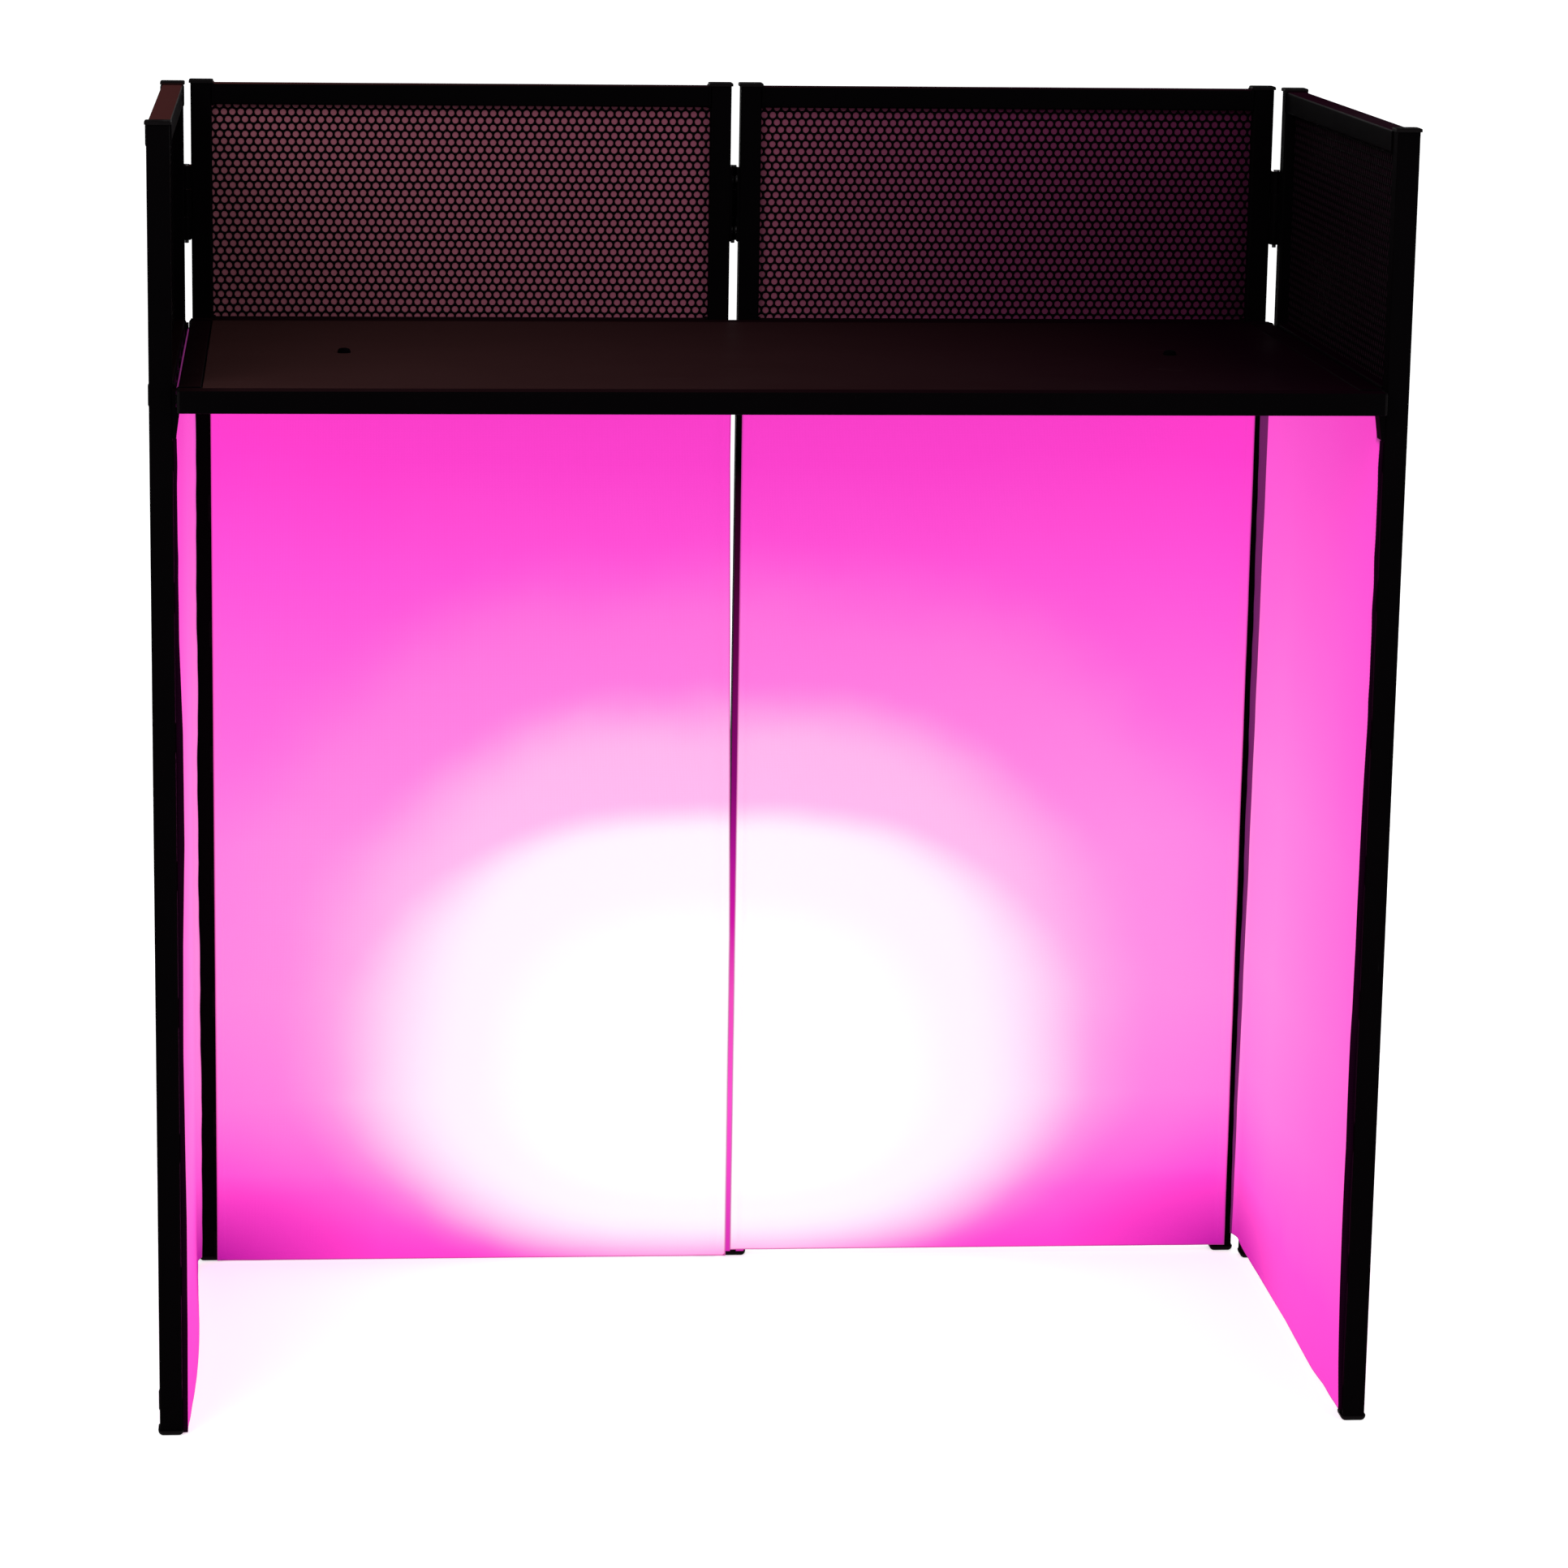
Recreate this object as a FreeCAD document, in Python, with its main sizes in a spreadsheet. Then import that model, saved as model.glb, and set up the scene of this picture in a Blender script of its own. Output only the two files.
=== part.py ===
import FreeCAD, Part
import os
import re
import Sketcher

# Folding DJ booth: four hinged tube panels in a U, each with a steel screen above the table
# height and a stretch scrim below it, and a lift-off table that rests on brackets inside.
# Millimetres, +Z up. The user stands on the -Y side and the audience is on the +Y side.

doc = FreeCAD.newDocument("Booth")
sheet = doc.addObject("Spreadsheet::Sheet", "Sizes")

sizes = {
    # panels
    "panel_width": 515,
    "panel_gap": 9,
    "tube_size": 20,
    "tube_wall": 1.5,
    "tube_corner": 2,
    "post_top": 1165,
    "mid_rail_top": 943,
    "bottom_rail_lift": 12,
    # caps, feet and tube plugs
    "cap_flange": 3,
    "cap_overhang": 1.5,
    "cap_corner": 3,
    "cap_edge": 1.2,
    "foot_flange": 5,
    "foot_edge": 2,
    "insert_depth": 12,
    "insert_clear": 0.1,
    # steel screens
    "screen_thick": 1.2,
    "screen_side_clear": 1,
    # scrims and their hook-and-loop tabs
    "scrim_slack": 13,
    "scrim_thick": 0.8,
    "scrim_bottom": 5,
    "scrim_top_lap": 12,
    "scrim_tab_clear": 0.3,
    "scallop_depth": 4,
    "scallop_count": 7,
    "notch_clear": 3,
    "tab_width": 6,
    "tab_length": 26,
    "tab_thick": 1.5,
    "tab_inset": 0.5,
    "rail_tab_count": 5,
    # hinges
    "hinge_height": 70,
    "hinge_inset": 78,
    "hinge_proud": 1.8,
    "knuckle_diameter": 8,
    "knuckle_clear": 0.4,
    "middle_knuckle": 26,
    "leaf_thick": 2,
    "leaf_edge": 2.6,
    "pin_diameter": 4,
    "pin_clear": 0.05,
    "pin_tip": 3,
    "pin_head_diameter": 6,
    "pin_head_height": 2,
    # screws
    "screw_diameter": 4,
    "screw_clear": 0.2,
    "screw_length": 8,
    "screw_head_diameter": 7,
    "screw_head_height": 1.5,
    "leaf_screw_spacing": 48,
    # table brackets
    "bracket_width": 18,
    "bracket_thick": 3,
    "bracket_reach": 26,
    "bracket_rise": 16,
    "bracket_drop": 25,
    "gusset_reach": 6,
    "bracket_screw_spacing": 9,
    "bracket_screw_rise": 8,
    # table
    "table_reach": 548,
    "table_back_clear": 6,
    "table_end_clear": 0.5,
    "board_thick": 10,
    "board_clear": 1,
    "cross_bar_spacing": 754,
    "cross_bar_width": 20,
    "plug_flange": 2,
    "plug_edge": 0.8,
    "bolt_diameter": 6,
    "bolt_clear": 0.3,
    "bolt_length": 16,
    "bolt_head_diameter": 12,
    "bolt_head_height": 4,
}
for row, (alias, number) in enumerate(sizes.items(), start=1):
    sheet.set(f"A{row}", alias)
    sheet.set(f"B{row}", str(number))
    sheet.setAlias(f"B{row}", alias)
doc.recompute()

upright = FreeCAD.Vector(0, 0, 1)
subparts = {}


def linked(formula):
    def name(word):
        return "Sizes." + word.group() if word.group() in sizes else word.group()
    return re.sub(r"[a-z_]+", name, formula)


def value(formula):
    return float(sheet.evalExpression(linked(formula)))


def bind(piece, **formulas):
    for path, formula in formulas.items():
        piece.setExpression(path.replace("__", "."), linked(formula))


def turned(angle, axis=upright):
    return FreeCAD.Rotation(axis, angle)


def put(piece, x, y, z, turn=FreeCAD.Rotation()):
    piece.Placement = FreeCAD.Placement(FreeCAD.Vector(), turn)
    bind(piece, Placement__Base__x=x, Placement__Base__y=y, Placement__Base__z=z)


def keep(piece, label):
    piece.Label = label
    subparts[label] = piece


# Places shared by many pieces, as formulas on the sheet
front_face = "(table_reach - tube_size - hinge_proud - knuckle_diameter / 2) / 2"
side_face = "(panel_width + panel_gap + hinge_proud)"
side_end = f"({front_face} - hinge_proud - panel_gap / 2)"
table_half = f"({side_face} - bracket_thick - screw_head_height - table_end_clear)"
table_under = "(mid_rail_top - tube_size)"
opening_width = "(panel_width - 2 * tube_size)"
scrim_width = "(panel_width - scrim_slack)"
hinge_bottoms = {"lower": "(foot_flange + hinge_inset)", "upper": "(post_top - hinge_inset - hinge_height)"}

# Each panel is drawn flat: across runs left to right seen from inside the booth, into runs from the
# inside face outwards. The start share sets how far the scrim hangs from the panel's left edge.
panels = {
    "side_left": {
        "turn": 90, "hinged": ["right"], "brackets": True, "scrim_start_share": 0.5,
        "scrim_bows": True,
        "x": f"-{side_face} - ({{into}})", "y": f"{side_end} - panel_width + ({{across}})",
    },
    "front_left": {
        "turn": 0, "hinged": ["left", "right"], "brackets": False, "scrim_start_share": 1.0,
        "scrim_bows": False,
        "x": "-(panel_gap / 2 + panel_width) + ({across})", "y": f"{front_face} + ({{into}})",
    },
    "front_right": {
        "turn": 0, "hinged": ["left", "right"], "brackets": False, "scrim_start_share": 0.4,
        "scrim_bows": False,
        "x": "panel_gap / 2 + ({across})", "y": f"{front_face} + ({{into}})",
    },
    "side_right": {
        "turn": -90, "hinged": ["left"], "brackets": True, "scrim_start_share": 0.5,
        "scrim_bows": True,
        "x": f"{side_face} + ({{into}})", "y": f"{side_end} - ({{across}})",
    },
}


def stand(piece, panel, across, into, up, turn=FreeCAD.Rotation()):
    x = panel["x"].format(across=across, into=into)
    y = panel["y"].format(across=across, into=into)
    put(piece, x, y, up, turned(panel["turn"]).multiply(turn))


# Small builders for sketches, primitives and groups
def sketch_on(body, role, name):
    plane = [item for item in body.Origin.OriginFeatures if item.Role == role][0]
    sketch = body.newObject("Sketcher::SketchObject", name)
    sketch.AttachmentSupport = [(plane, "")]
    sketch.MapMode = "FlatFace"
    return sketch


def add_rectangle(sketch, wide, high):
    half_wide, half_high = value(wide) / 2, value(high) / 2
    signs = [(-1, -1), (1, -1), (1, 1), (-1, 1)]
    corners = [FreeCAD.Vector(i * half_wide, j * half_high, 0) for i, j in signs]
    first = sketch.GeometryCount
    for index in range(4):
        sketch.addGeometry(Part.LineSegment(corners[index], corners[(index + 1) % 4]))
    for index in range(4):
        sketch.addConstraint(Sketcher.Constraint("Coincident", first + index, 2, first + (index + 1) % 4, 1))
    for index, way in enumerate(["Horizontal", "Vertical", "Horizontal", "Vertical"]):
        sketch.addConstraint(Sketcher.Constraint(way, first + index))
    sketch.addConstraint(Sketcher.Constraint("Symmetric", first, 1, first + 1, 2, -1, 1))
    across = sketch.addConstraint(Sketcher.Constraint("DistanceX", first, 1, first, 2, 2 * half_wide))
    along = sketch.addConstraint(Sketcher.Constraint("DistanceY", first + 1, 1, first + 1, 2, 2 * half_high))
    sketch.setExpression(f"Constraints[{across}]", linked(wide))
    sketch.setExpression(f"Constraints[{along}]", linked(high))


def add_circle(sketch, x, y, radius):
    centre = FreeCAD.Vector(value(x), value(y), 0)
    circle = sketch.addGeometry(Part.Circle(centre, upright, value(radius)))
    places = [
        (Sketcher.Constraint("DistanceX", -1, 1, circle, 3, centre.x), x),
        (Sketcher.Constraint("DistanceY", -1, 1, circle, 3, centre.y), y),
        (Sketcher.Constraint("Radius", circle, value(radius)), radius),
    ]
    for constraint, formula in places:
        index = sketch.addConstraint(constraint)
        sketch.setExpression(f"Constraints[{index}]", linked(formula))


def pad(body, sketch, length, backwards=False):
    feature = body.newObject("PartDesign::Pad", "Pad")
    feature.Profile = sketch
    feature.Reversed = backwards
    bind(feature, Length=length)
    return feature


def round_edges(body, base, radius, chosen):
    doc.recompute()
    names = [f"Edge{i}" for i, edge in enumerate(base.Shape.Edges, start=1) if chosen(edge)]
    fillet = body.newObject("PartDesign::Fillet", "Fillet")
    fillet.Base = (base, names)
    bind(fillet, Radius=radius)
    return fillet


def is_upright(edge):
    ends = [vertex.Point for vertex in edge.Vertexes]
    return len(ends) == 2 and (ends[1] - ends[0]).cross(upright).Length < Part.Precision.confusion()


def box(name, length, width, height, x="0", y="0", z="0"):
    piece = doc.addObject("Part::Box", name)
    bind(piece, Length=length, Width=width, Height=height)
    put(piece, x, y, z)
    return piece


def cylinder(name, radius, height, x="0", y="0", z="0", turn=FreeCAD.Rotation()):
    piece = doc.addObject("Part::Cylinder", name)
    bind(piece, Radius=radius, Height=height)
    put(piece, x, y, z, turn)
    return piece


def fused(name, pieces):
    whole = doc.addObject("Part::MultiFuse", name)
    whole.Shapes = pieces
    return whole


def cut(name, base, tool):
    whole = doc.addObject("Part::Cut", name)
    whole.Base = base
    whole.Tool = tool
    return whole


def copy_of(model):
    link = doc.addObject("App::Link", model.Name + "Copy")
    link.LinkedObject = model
    return link


def group(label, pieces):
    whole = doc.addObject("Part::Compound", label)
    whole.Links = pieces
    keep(whole, label)


# Square tube, its length along its own Z, with the outer corners rounded
def tube(label, length, high="tube_size", wide="tube_size"):
    body = doc.addObject("PartDesign::Body", label)
    section = sketch_on(body, "XY_Plane", "Section")
    add_rectangle(section, wide, high)
    add_rectangle(section, f"{wide} - 2 * tube_wall", f"{high} - 2 * tube_wall")
    wall = pad(body, section, length)

    def is_outer(edge):
        middle = edge.valueAt((edge.FirstParameter + edge.LastParameter) / 2)
        return is_upright(edge) and abs(middle.x) > value(f"{wide} / 2 - tube_wall / 2")

    round_edges(body, wall, "tube_corner", is_outer)
    return body


# Round holes through one wall of a tube: the sketch lies on the tube's middle plane
def drill(body, role, holes, backwards):
    sketch = sketch_on(body, role, "Holes")
    for x, y, radius in holes:
        add_circle(sketch, x, y, radius)
    doc.recompute()
    before = body.Shape.Volume
    pocket = body.newObject("PartDesign::Pocket", "Drilling")
    pocket.Profile = sketch
    pocket.Type = "ThroughAll"
    pocket.Reversed = backwards
    doc.recompute()
    assert body.Shape.Volume < before


# Plastic plug: a rounded flange above its own XY plane and an insert below it
def plug(name, overhang, flange, corner, edge_radius):
    body = doc.addObject("PartDesign::Body", name)
    top = sketch_on(body, "XY_Plane", "Flange")
    outer = f"tube_size + 2 * {overhang}"
    add_rectangle(top, outer, outer)
    plate = pad(body, top, flange)
    round_edges(body, plate, corner, is_upright)
    inset = sketch_on(body, "XY_Plane", "Insert")
    inner = "tube_size - 2 * tube_wall - 2 * insert_clear"
    add_rectangle(inset, inner, inner)
    stub = pad(body, inset, "insert_depth", backwards=True)

    def on_rim(edge):
        return min(vertex.Z for vertex in edge.Vertexes) > value(flange) / 2

    round_edges(body, stub, edge_radius, on_rim)
    return body


# One leaf of a hinge, drawn with the panels in line and the pin on its own Z. The left leaf
# carries the two end knuckles and the right leaf the middle one.
end_knuckle = "((hinge_height - middle_knuckle) / 2 - knuckle_clear)"
plate_start = "(knuckle_diameter / 2 + knuckle_clear)"
screw_hole = "screw_diameter / 2 + screw_clear"


def hinge_leaf(name, side):
    left = side == "left"
    plate_x = "-panel_gap / 2" if left else "panel_gap / 2 - leaf_thick"
    plate_depth = f"hinge_proud + tube_size - leaf_edge - {plate_start}"
    pieces = [box(name + "Plate", "leaf_thick", plate_depth, "hinge_height", plate_x, plate_start)]
    if left:
        knuckles = [(end_knuckle, "0"), (end_knuckle, f"hinge_height - {end_knuckle}")]
    else:
        knuckles = [("middle_knuckle", "(hinge_height - middle_knuckle) / 2")]
    for height, z in knuckles:
        pieces.append(cylinder(name + "Knuckle", "knuckle_diameter / 2", height, z=z))
        pieces.append(box(name + "Web", "leaf_thick", plate_start, height, plate_x, z=z))
    tools = [cylinder(name + "Bore", "pin_diameter / 2 + pin_clear", "hinge_height")]
    for sign in "+-":
        z = f"hinge_height / 2 {sign} leaf_screw_spacing / 2"
        hole = cylinder(name + "Hole", screw_hole, "leaf_thick", plate_x, "hinge_proud + tube_size / 2", z,
                        turned(90, FreeCAD.Vector(0, 1, 0)))
        tools.append(hole)
    return cut(name, fused(name + "Solid", pieces), fused(name + "Tools", tools))


# Models that are repeated: each copy is a link with a place of its own
cap_model = plug("CapModel", "cap_overhang", "cap_flange", "cap_corner", "cap_edge")
foot_model = plug("FootModel", "cap_overhang", "foot_flange", "cap_corner", "foot_edge")
end_plug_model = plug("EndPlugModel", "0", "plug_flange", "tube_corner", "plug_edge")
leaf_models = {side: hinge_leaf(side.capitalize() + "Leaf", side) for side in ("left", "right")}
pin_model = fused("PinModel", [
    cylinder("PinShaft", "pin_diameter / 2", "hinge_height + pin_tip", z="-pin_tip"),
    cylinder("PinHead", "pin_head_diameter / 2", "pin_head_height", z="hinge_height"),
])
screw_model = fused("ScrewModel", [
    cylinder("ScrewShank", "screw_diameter / 2", "screw_length"),
    cylinder("ScrewHead", "screw_head_diameter / 2", "screw_head_height", z="-screw_head_height"),
])
bolt_model = fused("BoltModel", [
    cylinder("BoltShank", "bolt_diameter / 2", "bolt_length", z="-bolt_length"),
    cylinder("BoltHead", "bolt_head_diameter / 2", "bolt_head_height"),
])
post_tab_model = box("PostTab", "tab_width", "tab_thick", "tab_length")
rail_tab_model = box("RailTab", "tab_length", "tab_thick", "tab_width")


# Table bracket: an L with a small gusset under the ledge. Its own X runs from the post into the
# booth, and its Z is 0 at the top of the ledge.
def table_bracket():
    body = doc.addObject("PartDesign::Body", "BracketModel")
    profile = sketch_on(body, "XZ_Plane", "Profile")
    outline = [
        ("0", "bracket_rise"), ("bracket_thick", "bracket_rise"), ("bracket_thick", "0"),
        ("bracket_reach", "0"), ("bracket_reach", "-bracket_thick"), ("gusset_reach", "-bracket_thick"),
        ("bracket_thick", "-bracket_drop"), ("0", "-bracket_drop"),
    ]
    points = [FreeCAD.Vector(value(x), value(z), 0) for x, z in outline]
    for index, point in enumerate(points):
        profile.addGeometry(Part.LineSegment(point, points[(index + 1) % len(points)]))
    for index, (x, z) in enumerate(outline):
        last = (index - 1) % len(outline)
        profile.addConstraint(Sketcher.Constraint("Coincident", last, 2, index, 1))
        for way, formula in (("DistanceX", x), ("DistanceY", z)):
            place = profile.addConstraint(Sketcher.Constraint(way, -1, 1, index, 1, value(formula)))
            profile.setExpression(f"Constraints[{place}]", linked(formula))
    solid = pad(body, profile, "bracket_width")
    solid.SideType = "Symmetric"
    holes = [(f"{sign}bracket_screw_spacing / 2", "bracket_screw_rise", screw_hole) for sign in "+-"]
    drill(body, "YZ_Plane", holes, backwards=True)
    return body


bracket_model = table_bracket()
inward = turned(-90)
along_rail = turned(90, FreeCAD.Vector(0, 1, 0))


def leaf_screw_heights():
    spots = []
    for bottom in hinge_bottoms.values():
        for sign in "+-":
            spots.append(f"{bottom} + hinge_height / 2 {sign} leaf_screw_spacing / 2")
    return spots


# Two posts, three rails, caps and feet of one panel
def panel_frame(name, panel):
    for end, across in (("left", "tube_size / 2"), ("right", "panel_width - tube_size / 2")):
        post = tube(f"{name}_{end}_post", "post_top - foot_flange")
        if end in panel["hinged"]:
            holes = [("0", f"{z} - foot_flange", screw_hole) for z in leaf_screw_heights()]
            drill(post, "YZ_Plane", holes, backwards=end == "right")
        if panel["brackets"]:
            z = f"{table_under} + bracket_screw_rise - foot_flange"
            holes = [(f"{sign}bracket_screw_spacing / 2", z, screw_hole) for sign in "+-"]
            drill(post, "XZ_Plane", holes, backwards=True)
        stand(post, panel, across, "tube_size / 2", "foot_flange")
        keep(post, f"{name}_{end}_post")
    levels = {
        "top": "post_top - tube_size / 2",
        "mid": "mid_rail_top - tube_size / 2",
        "bottom": "foot_flange + bottom_rail_lift + tube_size / 2",
    }
    for level, z in levels.items():
        rail = tube(f"{name}_{level}_rail", opening_width)
        stand(rail, panel, "tube_size", "tube_size / 2", z, along_rail)
        keep(rail, f"{name}_{level}_rail")
    caps = []
    feet = []
    for across in ("tube_size / 2", "panel_width - tube_size / 2"):
        cap = copy_of(cap_model)
        stand(cap, panel, across, "tube_size / 2", "post_top")
        caps.append(cap)
        foot = copy_of(foot_model)
        stand(foot, panel, across, "tube_size / 2", "foot_flange", turned(180, FreeCAD.Vector(1, 0, 0)))
        feet.append(foot)
    group(f"{name}_caps", caps)
    group(f"{name}_feet", feet)


# Steel screen between the top and mid rails, in the middle of the tubes
def panel_screen(name, panel):
    height = "post_top - tube_size - mid_rail_top"
    screen = doc.addObject("Part::Box", f"{name}_screen")
    bind(screen, Length=f"{opening_width} - 2 * screen_side_clear", Width="screen_thick", Height=height)
    stand(screen, panel, "tube_size + screen_side_clear", "(tube_size - screen_thick) / 2", "mid_rail_top")
    keep(screen, f"{name}_screen")


# Stretch scrim on hook-and-loop tabs: the side panels' scrims bow in between the tabs, the front
# ones are cut straight, and the top corners are notched round the table brackets
def panel_scrim(name, panel):
    hang = f"scrim_slack * {panel['scrim_start_share']}"
    start = value(hang)
    finish = start + value(scrim_width)
    bottom = value("scrim_bottom")
    top = value(f"{table_under} + scrim_top_lap")
    notch = value(f"{table_under} - bracket_drop - notch_clear")
    notch_side = value("tube_size + notch_clear")
    notch_far = value("panel_width") - notch_side
    depth = value("scallop_depth")
    count = int(value("scallop_count"))
    step = (notch - bottom) / count
    levels = [bottom + step * index for index in range(count + 1)]

    def point(across, up):
        return FreeCAD.Vector(across, 0, up)

    def scallops(edge, inwards, heights):
        arcs = []
        for low, high in zip(heights, heights[1:]):
            middle = point(edge + inwards * depth, (low + high) / 2)
            arcs.append(Part.Arc(point(edge, low), middle, point(edge, high)).toShape())
        return arcs

    def straight(stops):
        return [Part.makeLine(a, b) for a, b in zip(stops, stops[1:])]

    def side_edge(edge, inwards, heights):
        if panel["scrim_bows"]:
            return scallops(edge, inwards, heights)
        return straight([point(edge, heights[0]), point(edge, heights[-1])])

    edges = side_edge(start, 1, levels)
    edges += straight([point(start, notch), point(notch_side, notch), point(notch_side, top),
                       point(notch_far, top), point(notch_far, notch), point(finish, notch)])
    edges += side_edge(finish, -1, levels[::-1])
    edges += straight([point(finish, bottom), point(start, bottom)])
    cloth = Part.Face(Part.Wire(edges)).extrude(FreeCAD.Vector(0, -value("scrim_thick"), 0))
    scrim = doc.addObject("Part::Feature", f"{name}_scrim")
    scrim.Shape = cloth
    stand(scrim, panel, "0", "-(tab_thick + scrim_tab_clear)", "0")
    keep(scrim, f"{name}_scrim")

    tabs = []
    tab_starts = ["tab_inset", f"{scrim_width} - tab_inset - tab_width"]
    notch_level = f"({table_under} - bracket_drop - notch_clear)"
    for tab_start in tab_starts:
        for index in range(count + 1):
            tab = copy_of(post_tab_model)
            share = index / count
            up = f"scrim_bottom + ({notch_level} - scrim_bottom - tab_length) * {share}"
            stand(tab, panel, f"{hang} + {tab_start}", "-tab_thick", up)
            tabs.append(tab)
    rail_count = int(value("rail_tab_count"))
    rail_levels = [
        "foot_flange + bottom_rail_lift + tab_inset",
        f"{table_under} + scrim_top_lap - tab_inset - tab_width",
    ]
    for up in rail_levels:
        for index in range(rail_count):
            tab = copy_of(rail_tab_model)
            share = (index + 1) / (rail_count + 1)
            stand(tab, panel, f"panel_width * {share} - tab_length / 2", "-tab_thick", up)
            tabs.append(tab)
    group(f"{name}_scrim_tabs", tabs)


# Hinge leaves, pins and screws. Corner pins stand inside the booth, and the centre pin outside, so
# its leaves are turned half round.
seams = [
    {"left": "side_left", "right": "front_left", "into": "-hinge_proud", "turn": 0, "pins": "front_left"},
    {"left": "front_left", "right": "front_right", "into": "tube_size + hinge_proud", "turn": 180,
     "pins": "front_left"},
    {"left": "front_right", "right": "side_right", "into": "-hinge_proud", "turn": 0,
     "pins": "front_right"},
]
axis_across = {"left": "panel_width + panel_gap / 2", "right": "-panel_gap / 2"}


def hinges():
    leaves = {name: [] for name in panels}
    pins = {}
    for seam in seams:
        turn = turned(seam["turn"])
        for end in ("left", "right"):
            panel = seam[end]
            other = {"left": "right", "right": "left"}[end]
            shape = end if seam["turn"] == 0 else other
            for bottom in hinge_bottoms.values():
                leaf = copy_of(leaf_models[shape])
                stand(leaf, panels[panel], axis_across[end], seam["into"], bottom, turn)
                leaves[panel].append(leaf)
                if panel == seam["pins"]:
                    pin = copy_of(pin_model)
                    stand(pin, panels[panel], axis_across[end], seam["into"], bottom)
                    pins.setdefault(panel, []).append(pin)
    for panel, pieces in leaves.items():
        group(f"{panel}_hinge_leaves", pieces)
    for panel, pieces in pins.items():
        group(f"{panel}_hinge_pins", pieces)


def panel_screws(name, panel):
    screws = []
    ends = {"left": ("-leaf_thick", 90), "right": ("panel_width + leaf_thick", -90)}
    for end in panel["hinged"]:
        across, tilt = ends[end]
        for up in leaf_screw_heights():
            screw = copy_of(screw_model)
            stand(screw, panel, across, "tube_size / 2", up, turned(tilt, FreeCAD.Vector(0, 1, 0)))
            screws.append(screw)
    if panel["brackets"]:
        brackets = []
        up = f"{table_under} + bracket_screw_rise"
        for across in ("tube_size / 2", "panel_width - tube_size / 2"):
            bracket = copy_of(bracket_model)
            stand(bracket, panel, across, "0", table_under, inward)
            brackets.append(bracket)
            for sign in "+-":
                screw = copy_of(screw_model)
                place = f"{across} {sign} bracket_screw_spacing / 2"
                stand(screw, panel, place, "-bracket_thick", up, turned(-90, FreeCAD.Vector(1, 0, 0)))
                screws.append(screw)
        group(f"{name}_brackets", brackets)
    group(f"{name}_screws", screws)


# Table: a welded tube frame with plugged ends, two cross bars and a board bolted down on them
def table():
    level = f"{table_under} + tube_size / 2"
    front = f"({front_face} - table_reach)"
    back = f"({front_face} - table_back_clear)"
    long_tube = f"2 * ({table_half} - plug_flange)"
    rows = {"front": f"{front} + tube_size / 2", "back": f"{back} - tube_size / 2"}
    plugs = []
    for end, y in rows.items():
        rail = tube(f"table_{end}_tube", long_tube)
        put(rail, f"plug_flange - {table_half}", y, level, along_rail)
        keep(rail, f"table_{end}_tube")
        for sign, tilt in (("", 90), ("-", -90)):
            cover = copy_of(end_plug_model)
            put(cover, f"{sign}({table_half} - plug_flange)", y, level,
                turned(tilt, FreeCAD.Vector(0, 1, 0)))
            plugs.append(cover)
    group("table_plugs", plugs)
    inner_depth = "(table_reach - table_back_clear - 2 * tube_size)"
    backwards = turned(-90, FreeCAD.Vector(1, 0, 0))
    for end, sign in (("left", "-"), ("right", "")):
        rail = tube(f"table_{end}_tube", inner_depth)
        put(rail, f"{sign}({table_half} - tube_size / 2)", f"{front} + tube_size", level, backwards)
        keep(rail, f"table_{end}_tube")
    middle = f"{front} + tube_size + {inner_depth} / 2"
    bars = []
    bolts = []
    tools = []
    bar_height = "(tube_size - board_thick)"
    for sign in ("-", ""):
        x = f"{sign}cross_bar_spacing / 2"
        bar = tube("CrossBar", inner_depth, bar_height, "cross_bar_width")
        drill(bar, "XZ_Plane", [("0", f"{inner_depth} / 2", "bolt_diameter / 2 + bolt_clear")],
              backwards=True)
        put(bar, x, f"{front} + tube_size", f"{table_under} + {bar_height} / 2", backwards)
        bars.append(bar)
        bolt = copy_of(bolt_model)
        put(bolt, x, middle, "mid_rail_top")
        bolts.append(bolt)
        tools.append(cylinder("BoltHole", "bolt_diameter / 2 + bolt_clear", "board_thick", x, middle,
                              "mid_rail_top - board_thick"))
    group("table_cross_bars", bars)
    group("table_bolts", bolts)
    board_half = f"({table_half} - tube_size - board_clear)"
    slab = box("BoardSlab", f"2 * {board_half}", f"{inner_depth} - 2 * board_clear", "board_thick",
               f"-{board_half}", f"{front} + tube_size + board_clear", "mid_rail_top - board_thick")
    keep(cut("table_board", slab, fused("BoltHoles", tools)), "table_board")


for name, panel in panels.items():
    panel_frame(name, panel)
    panel_screen(name, panel)
    panel_scrim(name, panel)
    panel_screws(name, panel)
hinges()
table()
doc.recompute()

for item in doc.Objects:
    bad = [state for state in item.State if state in ("Invalid", "Error")]
    assert not bad, f"{item.Label} failed: {item.State}"
for label, piece in subparts.items():
    assert not piece.Shape.isNull() and piece.Shape.isValid(), f"{label} has no valid shape"
    assert piece.Shape.Solids, f"{label} has no solid"
os.makedirs("parts", exist_ok=True)
for label, piece in subparts.items():
    piece.Shape.exportStep(f"parts/{label}.step")
box_all = Part.makeCompound([piece.Shape for piece in subparts.values()]).BoundBox
print(len(subparts), "sub-parts,", round(box_all.XLength), round(box_all.YLength), round(box_all.ZLength))
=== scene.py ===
import math
import bmesh
import bpy
from mathutils import Matrix, Vector, noise


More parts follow.
